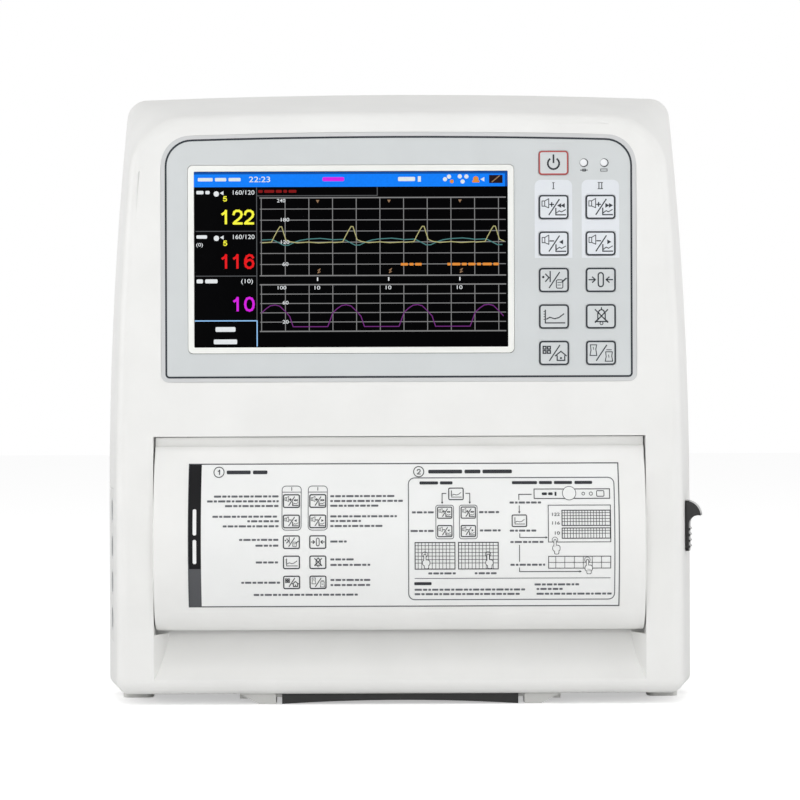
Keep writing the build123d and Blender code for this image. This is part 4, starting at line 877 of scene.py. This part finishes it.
    def alerts(self) -> None:
        """Draws the small orange, brown and dim red marks."""
        self.light("orange", (226, 140, 54), words=[(401.0, 264.2, 422.0, 2.6), (447.6, 264.2, 499.6, 2.6)],
                   disc=[(476.4, 179.0, 2.7), (452.4, 181.4, 1.9)], bar=[(472.8, 180.4, 480.0, 182.6, 0.8)])
        marks = (318.0, 389.4, 460.4)
        self.light("brown", (150, 118, 88), arrow=[(x, 200.6, 2.0, DOWN) for x in marks],
                   path=[*((0.7, (x, 270.0), (x + 2.4, 268.4), (x, 272.6), (x + 2.4, 271.4)) for x in marks),
                         (1.0, (492.6, 182.0), (500.0, 176.0))])
        self.light("dim_red", (128, 14, 12), words=[(258.6, 190.8, 296.8, 2.8)])

    def build(self) -> None:
        """Dresses the display's nodes and lays the picture on its glass."""
        self.dress(BEZEL, "screen_bezel")
        self.dress(GLASS, "screen_glass", "lcd_module")
        self.dress(STEEL, "display_bracket")
        self.dress(BOARD, "main_board", "io_board", "key_board")
        self.bars()
        self.plots()
        self.traces()
        self.readouts()
        self.alerts()


class Sign(Enum):
    """What a key's picture shows."""

    POWER = "power"
    LOUDER_BACK = "louder_back"
    LOUDER_ON = "louder_on"
    SOFTER_BACK = "softer_back"
    SOFTER_ON = "softer_on"
    EVENT = "event"
    ZERO = "zero"
    TREND = "trend"
    MUTE = "mute"
    HOME = "home"
    PAPER = "paper"


VOLUME_KEYS: dict[str, Sign] = {
    "key_volume_up_one": Sign.LOUDER_BACK, "key_volume_up_two": Sign.LOUDER_ON,
    "key_volume_down_one": Sign.SOFTER_BACK, "key_volume_down_two": Sign.SOFTER_ON,
}
KEY_SIGNS: dict[str, Sign] = {
    "key_power": Sign.POWER, **VOLUME_KEYS, "key_event_mark": Sign.EVENT, "key_zero": Sign.ZERO,
    "key_trend": Sign.TREND, "key_alarm_mute": Sign.MUTE, "key_home": Sign.HOME, "key_print": Sign.PAPER,
}


@dataclass
class KeyArt:
    """Draws a key's outline and picture about its middle.

    line is the width of the strokes that thicken in a small copy. hair, thin,
    fine, firm and bold are the widths that don't.
    """

    half_width: float = 14.8
    half_height: float = 12.05
    corner: float = 3.4
    rim: float = 1.45
    line: float = 1.2
    hair: float = 0.7
    thin: float = 0.8
    fine: float = 0.9
    firm: float = 1.2
    bold: float = 1.75
    ring: float = 5.7
    art: Drawing = field(default_factory=Drawing)

    def _slash(self) -> None:
        """Adds the slanted stroke that parts two pictures."""
        self.art.path(self.line, (-4.6, 7.6), (5.6, -7.6))

    def _volume(self, louder: bool, onward: bool) -> None:
        """Adds a loudspeaker, a plus or minus, arrows and a chart.

        Args:
            louder: Plus and two arrows, or minus and one.
            onward: Arrows to the right, or to the left.
        """
        self.art.path(self.thin, (-11.6, -6.1), (-8.9, -6.1), (-4.9, -8.4), (-4.9, 0.8), (-8.9, -0.9),
                      (-11.6, -0.9), (-11.6, -6.1))
        self.art.path(self.thin, (-8.9, -6.1), (-8.9, -0.9))
        self.art.path(self.line, (-3.8, -2.6), (0.0, -2.6))
        if louder:
            self.art.path(self.line, (-1.9, -4.5), (-1.9, -0.7))
        self._slash()
        for x in (6.2, 9.8) if louder else (8.0,):
            self.art.arrow(x, -1.5, 2.7, RIGHT if onward else LEFT)
        self.art.path(self.line, (2.2, 1.2), (2.2, 7.8), (12.0, 7.8))
        self.art.path(self.fine, (2.6, 6.0), (5.6, 3.8), (7.8, 4.9), (11.8, 2.7))

    def _event(self) -> None:
        """Adds the mark's arrow and a note with a pen."""
        self.art.disc(-10.6, -3.0, 1.2)
        self.art.path(self.line, (-8.4, -6.0), (-4.9, -2.4), (-8.4, 1.4))
        self.art.path(self.firm, (-3.7, -8.6), (-3.7, 1.7))
        self._slash()
        self.art.frame(2.0, -0.6, 9.4, 8.6, self.fine, 1.8)
        self.art.path(self.hair, (3.8, 2.4), (7.6, 2.4))
        self.art.path(self.hair, (3.8, 5.0), (6.6, 5.0))
        self.art.path(1.5, (8.4, 1.8), (12.2, -1.6))

    def _zero(self) -> None:
        """Adds a tall zero between two arrows."""
        self.art.frame(-3.2, -7.8, 3.2, 7.4, 1.35, 3.1)
        for side in (-1, 1):
            self.art.path(self.line, (side * 11.8, -0.2), (side * 5.6, -0.2))
            self.art.path(self.line, (side * 8.4, -2.9), (side * 5.4, -0.2), (side * 8.4, 2.5))

    def _trend(self) -> None:
        """Adds a chart with ticks."""
        self.art.path(self.firm, (-8.7, -6.4), (-8.7, 6.4), (10.8, 6.4))
        self.art.path(1.1, (-7.4, 2.6), (-4.2, 0.8), (0.7, 2.2), (4.9, 1.1), (9.8, -2.6))
        for y in (-5.0, -2.4, 0.2, 2.8):
            self.art.path(self.hair, (-10.2, y), (-8.9, y))

    def _mute(self) -> None:
        """Adds a crossed bell."""
        self.art.path(self.line, (-5.6, 5.2), (-3.1, 3.2), (-3.1, -2.6), (-1.6, -5.8), (0.6, -6.9),
                      (2.8, -5.8), (4.3, -2.6), (4.3, 3.2), (6.8, 5.2), (-5.6, 5.2))
        self.art.path(self.firm, (0.6, -7.2), (0.6, -8.8))
        self.art.ring(0.6, 6.8, 1.9, self.thin)
        self.art.path(self.line, (-5.7, -6.8), (6.9, 6.0))
        self.art.path(self.line, (6.9, -6.8), (-5.7, 6.0))

    def _home(self) -> None:
        """Adds four tiles and a house."""
        for x in (-11.6, -7.2):
            for y in (-7.2, -3.0):
                self.art.frame(x, y, x + 4.1, y + 3.9, 1.3)
        self._slash()
        self.art.path(self.line, (1.2, 2.8), (6.8, -1.6), (12.2, 2.8))
        self.art.path(self.line, (3.0, 2.8), (3.0, 7.4), (10.6, 7.4), (10.6, 2.8))
        self.art.bar(5.8, 4.2, 7.8, 6.0)

    def _paper(self) -> None:
        """Adds two curled sheets."""
        self.art.path(self.fine, (-10.6, -8.0), (-4.4, -8.0), (-5.2, -3.6), (-4.2, 2.6), (-11.0, 2.6),
                      (-10.0, -2.8), (-10.6, -8.0))
        self.art.path(self.hair, (-7.8, -5.8), (-7.4, -3.4))
        self._slash()
        self.art.path(self.fine, (4.7, -1.0), (11.3, -1.0), (10.7, 3.4), (11.6, 8.4), (4.2, 8.4), (5.1, 3.9),
                      (4.7, -1.0))
        self.art.path(self.thin, (5.6, -3.0), (10.4, -3.0))
        self.art.path(self.hair, (7.4, 2.0), (8.0, 4.6))

    def _power(self) -> None:
        """Adds the open ring and its bar."""
        turns = [math.radians(40.0 + 20.0 * step) for step in range(15)]
        self.art.path(self.bold, *((self.ring * math.sin(turn), 0.6 - self.ring * math.cos(turn))
                                   for turn in turns))
        self.art.path(self.bold, (0.0, -7.8), (0.0, -0.4))

    def picture(self, sign: Sign) -> Drawing:
        """Draws one key's picture.

        Args:
            sign: Which picture.

        Returns:
            The drawing.
        """
        self.art = Drawing()
        if sign in VOLUME_KEYS.values():
            louder = sign in (Sign.LOUDER_BACK, Sign.LOUDER_ON)
            self._volume(louder, sign in (Sign.LOUDER_ON, Sign.SOFTER_ON))
        else:
            getattr(self, f"_{sign.value}")()
        return self.art

    def outline(self) -> Drawing:
        """Returns a drawing of the line round a key."""
        wide, high = self.half_width, self.half_height
        return Drawing().draw(frame=[(-wide, -high, wide, high, self.rim, self.corner)])


@dataclass
class KeyPanel(Dressed):
    """Overlay, keys and pilot lamps with their prints.

    column_levels are the heights at which the light columns start, meet their
    keys' openings and end. numerals holds each column's middle and the places
    of its numeral's strokes from there.
    """

    place: Placing = Placing(399.25, 132.0, 0.0, 281.3, 0.4904, 0.4920)
    key_unit: float = 0.4907
    line_inset: float = 1.9
    line_width: float = 0.95
    edge_inset: float = 0.02
    thickness: float = 0.03
    arch: float = 1.4
    arch_steps: int = 6
    top_corner: float = 14.4
    bottom_corner: float = 3.2
    corner_share: float = 0.6
    corner_segments: int = 10
    near: float = 1e-5
    column_half: float = 18.8
    opening_half: float = 15.2
    column_levels: tuple[float, ...] = (187.0, 190.0, 195.2, 219.8, 231.6, 256.2, 258.0)
    head: tuple[float, float, float] = (180.2, 194.6, 6.0)
    numerals: tuple[tuple[float, tuple[float, ...]], ...] = ((554.3, (0.0,)), (601.3, (-1.4, 1.4)))
    numeral_top: float = 183.0
    numeral_low: float = 189.0
    lamps: tuple[float, float] = (584.9, 605.3)

    def border(self, name: str, inset: float, width: float, depth: float, finish: Finish) -> None:
        """Builds an outline that follows the overlay's arched edge.

        Args:
            name: The piece's name.
            inset: From the overlay's edge to the outline's outer side.
            width: The outline's width.
            depth: How far it stands before the overlay.
            finish: Its finish.
        """
        low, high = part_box("control_overlay")
        half, top, bottom = high.x - inset * MM, high.z - inset * MM, low.z + inset * MM
        level = top - self.arch * MM
        middle = (0.0, low.y - depth * MM, (level + bottom) / 2)
        clear_selection()
        bpy.ops.mesh.primitive_plane_add(size=1.0, location=middle, rotation=UPRIGHT)
        ring = bpy.context.object
        ring.name = name
        with editing():
            bpy.ops.transform.resize(value=(2.0 * half, 1.0, level - bottom), center_override=middle)
        settle(ring)
        for upper, radius in ((True, self.top_corner), (False, self.bottom_corner)):
            select_parts(ring, "VERT", lambda corner: (corner.co.z > middle[2]) is upper)
            with editing():
                bpy.ops.mesh.bevel(offset=(radius - inset * self.corner_share) * MM,
                                   segments=self.corner_segments, affect="VERTICES")
        self._arch_top(ring, level, half - self.top_corner * MM)
        with editing():
            bpy.ops.mesh.select_mode(type="FACE")
            bpy.ops.mesh.select_all(action="SELECT")
            bpy.ops.mesh.inset(thickness=width * MM)
            bpy.ops.mesh.delete(type="FACE")
        apply_modifier(ring, "SOLIDIFY", thickness=self.thickness * MM, offset=1.0)
        ring.data.materials.append(finish.material())
        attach(ring, "housing")

    def _arch_top(self, ring: bpy.types.Object, level: float, reach: float) -> None:
        """Cuts an outline's top edge into parts and lifts them to an arch.

        Args:
            ring: The outline's object, at the origin.
            level: The height of its top edge, in metres.
            reach: Half the length of its straight part, in metres.
        """

        def is_top(edge: bpy.types.MeshEdge) -> bool:
            """Tells whether an edge is the long one at the top."""
            ends = [ring.data.vertices[index].co for index in edge.vertices]
            return all(abs(end.z - level) < self.near for end in ends) and abs(ends[0].x - ends[1].x) > reach

        select_parts(ring, "EDGE", is_top)
        with editing():
            bpy.ops.mesh.subdivide(number_cuts=2 * self.arch_steps - 1)
        for step in range(1 - self.arch_steps, self.arch_steps):
            share = step / self.arch_steps
            select_parts(ring, "VERT", lambda corner: abs(corner.co.x - share * reach) < reach / 30.0
                         and abs(corner.co.z - level) < self.near)
            with editing():
                bpy.ops.transform.translate(value=(0.0, 0.0, (1.0 - share * share) * self.arch * MM))

    def columns(self) -> None:
        """Lays the two light columns round the volume keys, with their numerals."""
        light, heads, ink = Drawing(), Drawing(), Drawing()
        start, first, *gaps, last, end = self.column_levels
        head_top, head_low, head_corner = self.head
        for middle, strokes in self.numerals:
            left, right = middle - self.column_half, middle + self.column_half
            near, far = middle - self.opening_half, middle + self.opening_half
            heads.bar(left, head_top, right, head_low, head_corner)
            light.draw(bar=[(left, start, near, end), (far, start, right, end), (near, first, far, gaps[0]),
                            (near, gaps[1], far, gaps[2]), (near, last, far, end)])
            half = max(strokes) + 1.0
            ink.draw(path=[(0.9, (middle + stroke, self.numeral_top), (middle + stroke, self.numeral_low))
                           for stroke in strokes])
            ink.draw(path=[(0.7, (middle - half, y), (middle + half, y))
                           for y in (self.numeral_top, self.numeral_low + 0.2)])
        ink.draw(ring=[(x, 163.3, 4.3, 0.85) for x in self.lamps],
                 path=[(0.8, (581.4, 170.6), (588.4, 170.6))],
                 frame=[(583.4, 169.2, 586.8, 172.0, 0.7), (601.4, 169.2, 608.4, 172.0, 0.6)])
        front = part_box("control_overlay")[0].y / MM
        for name, finish, drawing, lift in (("overlay_light_columns", OVERLAY_LIGHT, light, 0.01),
                                            ("overlay_light_heads", OVERLAY_LIGHT, heads, 0.025),
                                            ("overlay_signs", INK, ink, 0.05)):
            layer = Print(name, "housing", finish, "overlay_grey", front - lift)
            layer.press(drawing, self.place, self.frame["nodes"])

    def keys(self) -> None:
        """Prints each key's outline and picture."""
        art = KeyArt()
        for node, sign in KEY_SIGNS.items():
            low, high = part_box(node)
            middle = (low + high) / 2 / MM
            place = Placing(0.0, 0.0, middle.x, middle.z, self.key_unit)
            depth = low.y / MM - 0.01
            picture = art.picture(sign)
            if sign is Sign.POWER:
                rim = Print("key_power_outline", node, RED_INK, "key_grey", depth)
                rim.press(art.outline(), place, self.frame["nodes"])
            else:
                picture.add(art.outline(), 0.0, 0.0)
            Print(f"{node}_print", node, INK, "key_grey", depth).press(picture, place, self.frame["nodes"])

    def build(self) -> None:
        """Dresses the panel's nodes and prints on them."""
        self.dress(OVERLAY, "control_overlay", *KEY_SIGNS)
        self.dress(OVERLAY_LIGHT, *VOLUME_KEYS)
        self.dress(LENS, "indicator_lenses")
        self.dress(STEEL, "key_domes")
        # The edge ring is a flat grey with the bevel's shade painted into it.
        self.border("overlay_border", self.edge_inset, self.line_inset, 0.01, OVERLAY_RIM_AND_SHADE)
        self.border("overlay_line", self.line_inset, self.line_width, 0.05, INK)
        self.columns()
        self.keys()


@dataclass
class PrinterDoor(Dressed):
    """Bulged door, its guide sheet and the sheet's printed marks.

    The rows of words are where a line of small print starts, its height and
    where it ends. ink, grey, black and dim are inks of the sheet, and paper is
    its own colour over dark marks. band is the dark strip's left side, the
    height at which it turns lighter, and its right side.
    """

    place: Placing = Placing(403.6, 463.0, 2.0, 118.8, 0.489, 0.4882)
    behind: float = -70.0
    mini: float = 0.557
    tiny: float = 0.5
    mini_x: tuple[float, float] = (291.6, 317.9)
    rows: tuple[float, ...] = (500.2, 520.4, 541.0, 561.2, 581.4)
    pairs: tuple[tuple[Sign, Sign], ...] = (
        (Sign.LOUDER_BACK, Sign.LOUDER_ON), (Sign.SOFTER_BACK, Sign.SOFTER_ON), (Sign.EVENT, Sign.ZERO),
        (Sign.TREND, Sign.MUTE), (Sign.HOME, Sign.PAPER))
    left_words: tuple[tuple[float, float, float], ...] = (
        (214.2, 495.5, 279.0), (207.4, 500.3, 279.0), (225.3, 505.0, 279.6), (212.9, 515.5, 279.0),
        (247.7, 520.1, 279.2), (223.2, 525.1, 279.6), (239.5, 538.6, 278.6), (255.8, 544.4, 278.6),
        (256.0, 561.2, 279.6), (241.4, 581.6, 280.0), (253.5, 594.0, 357.5), (330.4, 495.5, 395.4),
        (330.4, 500.3, 402.8), (330.4, 505.0, 380.2), (330.4, 515.5, 396.8), (330.4, 520.1, 361.0),
        (330.4, 525.1, 382.3), (330.4, 540.5, 348.6), (330.4, 558.4, 354.3), (330.4, 563.9, 372.0),
        (330.4, 579.1, 370.6), (330.4, 584.2, 369.9))
    right_words: tuple[tuple[float, float, float], ...] = (
        (411.8, 511.8, 433.6), (410.4, 530.3, 433.4), (478.9, 511.8, 498.8), (479.5, 530.0, 500.5),
        (428.0, 572.8, 455.3), (474.3, 572.8, 498.1), (509.3, 502.4, 540.9), (509.3, 530.3, 535.6),
        (509.8, 541.6, 545.4), (509.8, 564.4, 544.4), (414.3, 589.3, 526.9), (414.3, 593.8, 519.2),
        (533.9, 584.3, 578.4), (536.0, 588.9, 562.7), (536.0, 593.8, 611.0))
    title_words: tuple[Point, ...] = ((428.4, 462.3), (464.7, 480.6), (482.7, 512.1))
    head_words: tuple[Point, ...] = (
        (419.5, 438.0), (440.0, 452.5), (511.9, 537.0), (539.0, 552.0), (554.0, 572.0), (574.5, 592.1))
    leads: tuple[tuple[Point, ...], ...] = (
        ((445.9, 493.1), (442.0, 493.1), (442.0, 501.6)), ((465.6, 493.1), (469.6, 493.1), (469.6, 501.6)),
        ((531.1, 494.3), (518.6, 494.3), (518.6, 499.4)), ((518.9, 505.6), (518.9, 511.4)),
        ((519.2, 533.4), (519.2, 537.1), (545.0, 537.1)), ((518.9, 544.8), (518.9, 561.0)),
        ((518.9, 567.5), (518.9, 571.3), (579.0, 571.3)))
    heads: tuple[tuple[float, float, float], ...] = (
        (442.0, 502.2, DOWN), (469.6, 502.2, DOWN), (518.9, 512.0, DOWN), (545.6, 537.1, RIGHT),
        (579.4, 571.3, RIGHT))
    hands: tuple[Point, ...] = ((424.5, 553.9), (487.5, 553.9), (554.2, 539.6), (586.5, 559.6))
    chart: Box = (547.5, 555.7, 610.1, 568.3)
    margin: float = 0.12
    band: tuple[float, float, float] = (188.8, 567.6, 201.4)
    band_gap: float = 0.6
    ink: Drawing = field(default_factory=Drawing)
    grey: Drawing = field(default_factory=Drawing)
    black: Drawing = field(default_factory=Drawing)
    dim: Drawing = field(default_factory=Drawing)
    paper: Drawing = field(default_factory=Drawing)

    def _screen(self, box: Box, pitch: float) -> None:
        """Adds a small picture of the plots.

        Args:
            box: Its sides.
            pitch: Between its lines.
        """
        left, top, right, low = box
        self.ink.frame(*box, 0.9)
        across = [left + pitch * step for step in range(1, int((right - left) / pitch))]
        down = [top + pitch * step for step in range(1, int((low - top) / pitch))]
        self.ink.grid(across, down, box, 0.5)

    def _hand(self, x: float, y: float) -> None:
        """Adds a pointing hand with a ripple.

        Args:
            x: Its finger's tip across.
            y: Its finger's tip down.
        """
        self.ink.draw(ring=[(x, y, 3.0, 0.45)], bar=[
            (x - 1.3, y - 0.6, x + 1.5, y + 7.0, 1.2), (x - 2.6, y + 5.0, x + 5.4, y + 11.6, 2.6),
            (x - 0.8, y + 9.0, x + 4.2, y + 14.4, 1.4)])
        self.paper.draw(bar=[
            (x - 0.7, y, x + 0.9, y + 7.4, 0.8), (x - 2.0, y + 5.6, x + 4.8, y + 11.0, 2.2),
            (x - 0.2, y + 9.4, x + 3.6, y + 13.8, 1.1)])

    def _key(self, picture: Drawing, x: float, y: float, share: float, half: Point, line: float,
             corner: float) -> None:
        """Adds a small copy of a key.

        Args:
            picture: Its picture.
            x: Its middle across.
            y: Its middle down.
            share: The picture's size against the real key's.
            half: Half its outline's width and height.
            line: The outline's width.
            corner: The outline's corner radius.
        """
        wide, high = half
        self.ink.add(picture, x, y, share)
        self.ink.frame(x - wide, y - high, x + wide, y + high, line, corner)

    def left_half(self) -> None:
        """Draws the key guide."""
        art = KeyArt(line=1.5)
        for y, pair in zip(self.rows, self.pairs):
            for x, sign in zip(self.mini_x, pair):
                self._key(art.picture(sign), x, y, self.mini, (8.5, 6.8), 1.15, 2.0)
        for x in (291.8, 317.9):
            self.grey.frame(x - 9.9, 485.0, x + 9.9, 529.4, 0.7, 4.0)
            self.grey.bar(x - 9.9, 491.0, x + 9.9, 491.7)
            self.ink.path(0.7, (x, 486.6), (x, 489.6))
        self.ink.ring(218.8, 471.4, 5.5, 0.8)
        self.ink.digits("1", 217.4, 468.8, 474.2, 4.2, 0.95)
        self.ink.draw(bar=[(226.6, 469.8, 250.5, 473.4, 1.1), (252.8, 469.8, 267.3, 473.4, 1.1)])
        self.paper.draw(bar=[(193.2, 508.0, 196.8, 534.0, 1.5), (193.2, 538.4, 196.8, 562.6, 1.5)])
        self.grey.draw(words=[(*line, 2.0) for line in self.left_words])

    def _guide_keys(self) -> None:
        """Draws the keys of the right half, in their columns and alone."""
        art = KeyArt(line=1.55)
        for x, signs in ((444.5, (Sign.LOUDER_BACK, Sign.SOFTER_BACK)),
                         (468.0, (Sign.LOUDER_ON, Sign.SOFTER_ON))):
            self.grey.frame(x - 9.2, 504.5, x + 9.2, 538.5, 0.7, 2.6)
            for y, sign in zip((512.2, 530.5), signs):
                self._key(art.picture(sign), x, y, self.tiny, (7.6, 6.0), 1.0, 1.6)
        for x, y in ((455.9, 493.6), (518.9, 520.5)):
            self._key(art.picture(Sign.TREND), x, y, self.tiny, (7.7, 6.2), 1.0, 1.6)

    def right_half(self) -> None:
        """Draws the guide to what is used most."""
        self.ink.ring(418.8, 471.5, 5.5, 0.8)
        self.ink.digits("2", 416.9, 468.8, 474.2, 3.9, 0.8)
        self.ink.draw(bar=[*((left, 469.7, right, 473.3, 1.1) for left, right in self.title_words),
                           *((left, 481.2, right, 484.2, 0.9) for left, right in self.head_words)])
        self.grey.frame(407.9, 477.2, 614.4, 599.9, 0.95, 6.5)
        self._guide_keys()
        self.ink.draw(
            path=[(0.75, *points) for points in self.leads],
            arrow=[(x, y, 1.4, turn) for x, y, turn in self.heads],
            frame=[(533.5, 488.7, 609.7, 498.9, 0.8), (596.0, 490.6, 604.0, 496.8, 0.7, 1.2),
                   (547.4, 504.8, 610.2, 542.1, 0.7), (*self.chart, 0.7)],
            words=[(541.6, 493.8, 552.4, 2.6)], ring=[(583.0, 493.8, 1.7, 0.6), (590.6, 493.8, 1.9, 0.6)],
            number=[("1", 554.4, 492.0, 556.2, 495.8), ("122", 551.6, 512.6, 559.2, 515.8),
                    ("116", 551.6, 521.2, 559.2, 524.4), ("10", 554.2, 531.2, 559.2, 534.4)],
            grid=[((555.0, 564.0, 573.5, 582.4, 591.4, 600.6), (562.2,), self.chart, 0.5)],
            disc=[(568.9, 493.3, 7.0)], bar=[(413.9, 581.6, 431.2, 584.6, 0.9)])
        self.paper.disc(568.9, 493.3, 6.4)
        for box, pitch in (((414.4, 541.4, 455.0, 568.9), 3.5), ((457.7, 541.4, 498.1, 568.9), 3.5),
                           ((561.0, 509.8, 609.9, 525.8), 2.9), ((561.0, 527.4, 609.9, 538.5), 2.9)):
            self._screen(box, pitch)
        for x, y in self.hands:
            self._hand(x, y)
        self.grey.bar(414.3, 577.5, 609.7, 578.2)
        self.grey.draw(words=[(*line, 2.0) for line in self.right_words])

    def sheet(self) -> None:
        """Prints the guide sheet, each ink just in front of the last."""
        self.left_half()
        self.right_half()
        low, high = (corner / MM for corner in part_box("door_label"))
        top, foot = (self.place.y0 + (self.place.z - z) / self.place.down
                     for z in (high.z - self.margin, low.z + self.margin))
        left, middle, right = self.band
        self.black.bar(left, top + self.band_gap, right, middle)
        self.dim.bar(left, middle, right, foot - self.band_gap)
        self.dim.frame(188.4, top, 619.0, foot, 1.1)
        for name, finish, drawing, thickness in (
                ("guide_dim", LABEL_DIM, self.dim, 0.03), ("guide_black", LABEL_BLACK, self.black, 0.03),
                ("guide_small_print", LABEL_GREY, self.grey, 0.05),
                ("guide_marks", LABEL_INK, self.ink, 0.07), ("guide_reversed", LABEL, self.paper, 0.09)):
            layer = Print(name, "door", finish, "label_paper", self.behind, thickness, "door_label")
            layer.press(drawing, self.place, self.frame["nodes"])

    def build(self) -> None:
        """Dresses the door and prints its sheet."""
        self.dress(DOOR, "door_panel", "door_frame")
        self.dress(LABEL, "door_label")
        self.dress(STEEL, "door_hinge_pins", "door_keeper")
        self.dress(NYLON, "platen_bushes")
        self.sheet()


@dataclass
class PrinterWorks(Dressed):
    """Platen, gears, head, chassis and paper tray."""

    def build(self) -> None:
        """Dresses the printer's nodes."""
        self.dress(ROLLER, "platen_roller")
        self.dress(NYLON, "platen_gear", "idler_gear", "motor_pinion")
        self.dress(STEEL, "platen_shaft", "motor_shaft", "printer_chassis", "head_springs", "drive_motor")
        self.dress(CERAMIC, "print_head")
        self.dress(ALUMINIUM, "head_sink")
        self.dress(INNER, "paper_tray")


@dataclass
class SideLatch(Dressed):
    """Ribbed black slide on the right wall."""

    def build(self) -> None:
        """Dresses the latch."""
        self.dress(LATCH, "latch_button")
        self.dress(STEEL, "latch_hook", "latch_spring")


@dataclass
class Sockets(Dressed):
    """Transducer sockets on the left and the leads' sockets at the rear."""

    def build(self) -> None:
        """Dresses the sockets."""
        self.dress(PANEL, "socket_panel", "io_panel")
        self.dress(SOCKET, "transducer_sockets")
        self.dress(DARK_SOCKET, "network_socket", "supply_inlet")
        self.dress(BRASS, "socket_contacts")
        self.dress(STEEL, "usb_sockets")


@dataclass
class FoldingFoot(Dressed):
    """Light foot with its black grip and pins."""

    def build(self) -> None:
        """Dresses the foot."""
        self.dress(FOOT, "foot_frame")
        self.dress(GRIP, "foot_grip")
        self.dress(STEEL, "foot_pins")


@dataclass
class Lamp:
    """A soft box: place, size and aim in metres, power in watts, spread in degrees."""

    name: str
    place: tuple[float, float, float]
    size: float
    power: float
    aim: tuple[float, float, float] = (0.0, 0.0, 0.15)
    spread: float = 180.0


@dataclass
class Studio:
    """Plain floor, soft lamps, white surroundings and the camera, in metres."""

    fill: float = 0.56
    lamps: list[Lamp] = field(default_factory=lambda: [
        Lamp("key_lamp", (-1.1, -2.0, 1.3), 1.6, 1.0),
        Lamp("low_left_lamp", (-0.7, -2.3, 0.43), 0.8, 5.8),
        Lamp("low_right_lamp", (0.7, -2.3, 0.43), 0.8, 5.0),
        Lamp("top_lamp", (0.0, -1.5, 2.4), 1.5, 6.0, (0.0, -0.5, 0.0)),
        Lamp("bounce_lamp", (0.0, -0.95, 1.0), 1.2, 2.5, (0.0, -0.95, 0.0), 70.0),
        Lamp("left_lamp", (-2.2, -0.3, 0.6), 1.1, 9.0),
        Lamp("right_lamp", (2.2, -0.3, 0.6), 1.1, 8.5),
    ])
    floor_half: float = 6.0
    floor_level: float = 0.9
    floor_lift: float = 0.46
    white: tuple[float, float, float, float] = (1.0, 1.0, 1.0, 1.0)
    distance: float = 1.337
    eye_height: float = 0.1498
    eye_x: float = 0.0004
    lens: float = 119.2
    sensor: float = 36.0
    roll: float = 0.2

    def _seen(self, tree: bpy.types.NodeTree, *rays: str) -> bpy.types.NodeSocket:
        """Adds up kinds of ray.

        Args:
            tree: A node tree.
            rays: Names of Light Path outputs.

        Returns:
            A socket that is 1 for any of them.
        """
        path = add_node(tree, "LightPath")
        total = path.outputs[rays[0]]
        for ray in rays[1:]:
            adder = add_node(tree, "Math")
            adder.use_clamp = True
            link(total, adder, 0)
            link(path.outputs[ray], adder, 1)
            total = adder.outputs["Value"]
        return total

    def surroundings(self) -> None:
        """Makes the world white where it is seen and dimmer as a light."""
        world = bpy.data.worlds.new("white_room")
        bpy.context.scene.world = world
        world.use_nodes = True
        tree = world.node_tree
        back = set_inputs(tree.nodes["Background"], Color=self.white)
        level = add_node(tree, "MapRange", To_Min=self.fill, To_Max=1.0)
        link(self._seen(tree, "Is Camera Ray", "Is Glossy Ray", "Is Transmission Ray"), level, "Value")
        link(level.outputs["Result"], back, "Strength")

    def floor(self) -> None:
        """Builds the pale floor, which looks white and keeps the shadow."""
        clear_selection()
        bpy.ops.mesh.primitive_plane_add(size=2.0 * self.floor_half)
        floor = bpy.context.object
        floor.name = "floor"
        with editing():
            bpy.ops.mesh.subdivide(number_cuts=3)
        paint = bpy.data.materials.new("pale_floor")
        paint.use_nodes = True
        tree = paint.node_tree
        level = self.floor_level
        shader = set_inputs(tree.nodes["Principled BSDF"], Base_Color=(level, level, level, 1.0),
                            Roughness=0.9, Specular_IOR_Level=0.0, Emission_Color=self.white)
        lift = add_node(tree, "Math")
        lift.operation = "MULTIPLY"
        lift.inputs[1].default_value = self.floor_lift
        link(self._seen(tree, "Is Camera Ray"), lift, 0)
        link(lift.outputs["Value"], shader, "Emission Strength")
        floor.data.materials.append(paint)

    def light(self) -> None:
        """Hangs the lamps."""
        for lamp in self.lamps:
            data = bpy.data.lights.new(lamp.name, "AREA")
            data.size = lamp.size
            data.energy = lamp.power
            data.spread = math.radians(lamp.spread)
            holder = bpy.data.objects.new(lamp.name, data)
            bpy.context.scene.collection.objects.link(holder)
            holder.location = lamp.place
            way = Vector(lamp.aim) - Vector(lamp.place)
            holder.rotation_euler = way.to_track_quat("-Z", "Y").to_euler()

    def camera(self) -> None:
        """Sets the camera straight before the unit, as the photograph has it."""
        data = bpy.data.cameras.new("front_camera")
        data.lens = self.lens
        data.sensor_width = self.sensor
        eye = bpy.data.objects.new("front_camera", data)
        bpy.context.scene.collection.objects.link(eye)
        eye.location = (self.eye_x, -self.distance, self.eye_height)
        eye.rotation_euler = (math.pi / 2, math.radians(self.roll), 0.0)
        bpy.context.scene.camera = eye

    def build(self) -> None:
        """Builds the whole studio."""
        bpy.context.scene.view_settings.view_transform = "Standard"
        self.surroundings()
        self.floor()
        self.light()
        self.camera()


def main() -> None:
    """Builds the sub-assemblies in order around the CAD frame."""
    logging.basicConfig(level=logging.INFO, format="%(name)s: %(message)s")
    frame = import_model()
    clear_selection()
    for unit in (Housing, DisplayUnit, KeyPanel, PrinterDoor, PrinterWorks, SideLatch, Sockets, FoldingFoot):
        unit(frame).build()
        log.info("%s is built", unit.__name__)
    Studio().build()


if __name__ == "__main__":
    main()
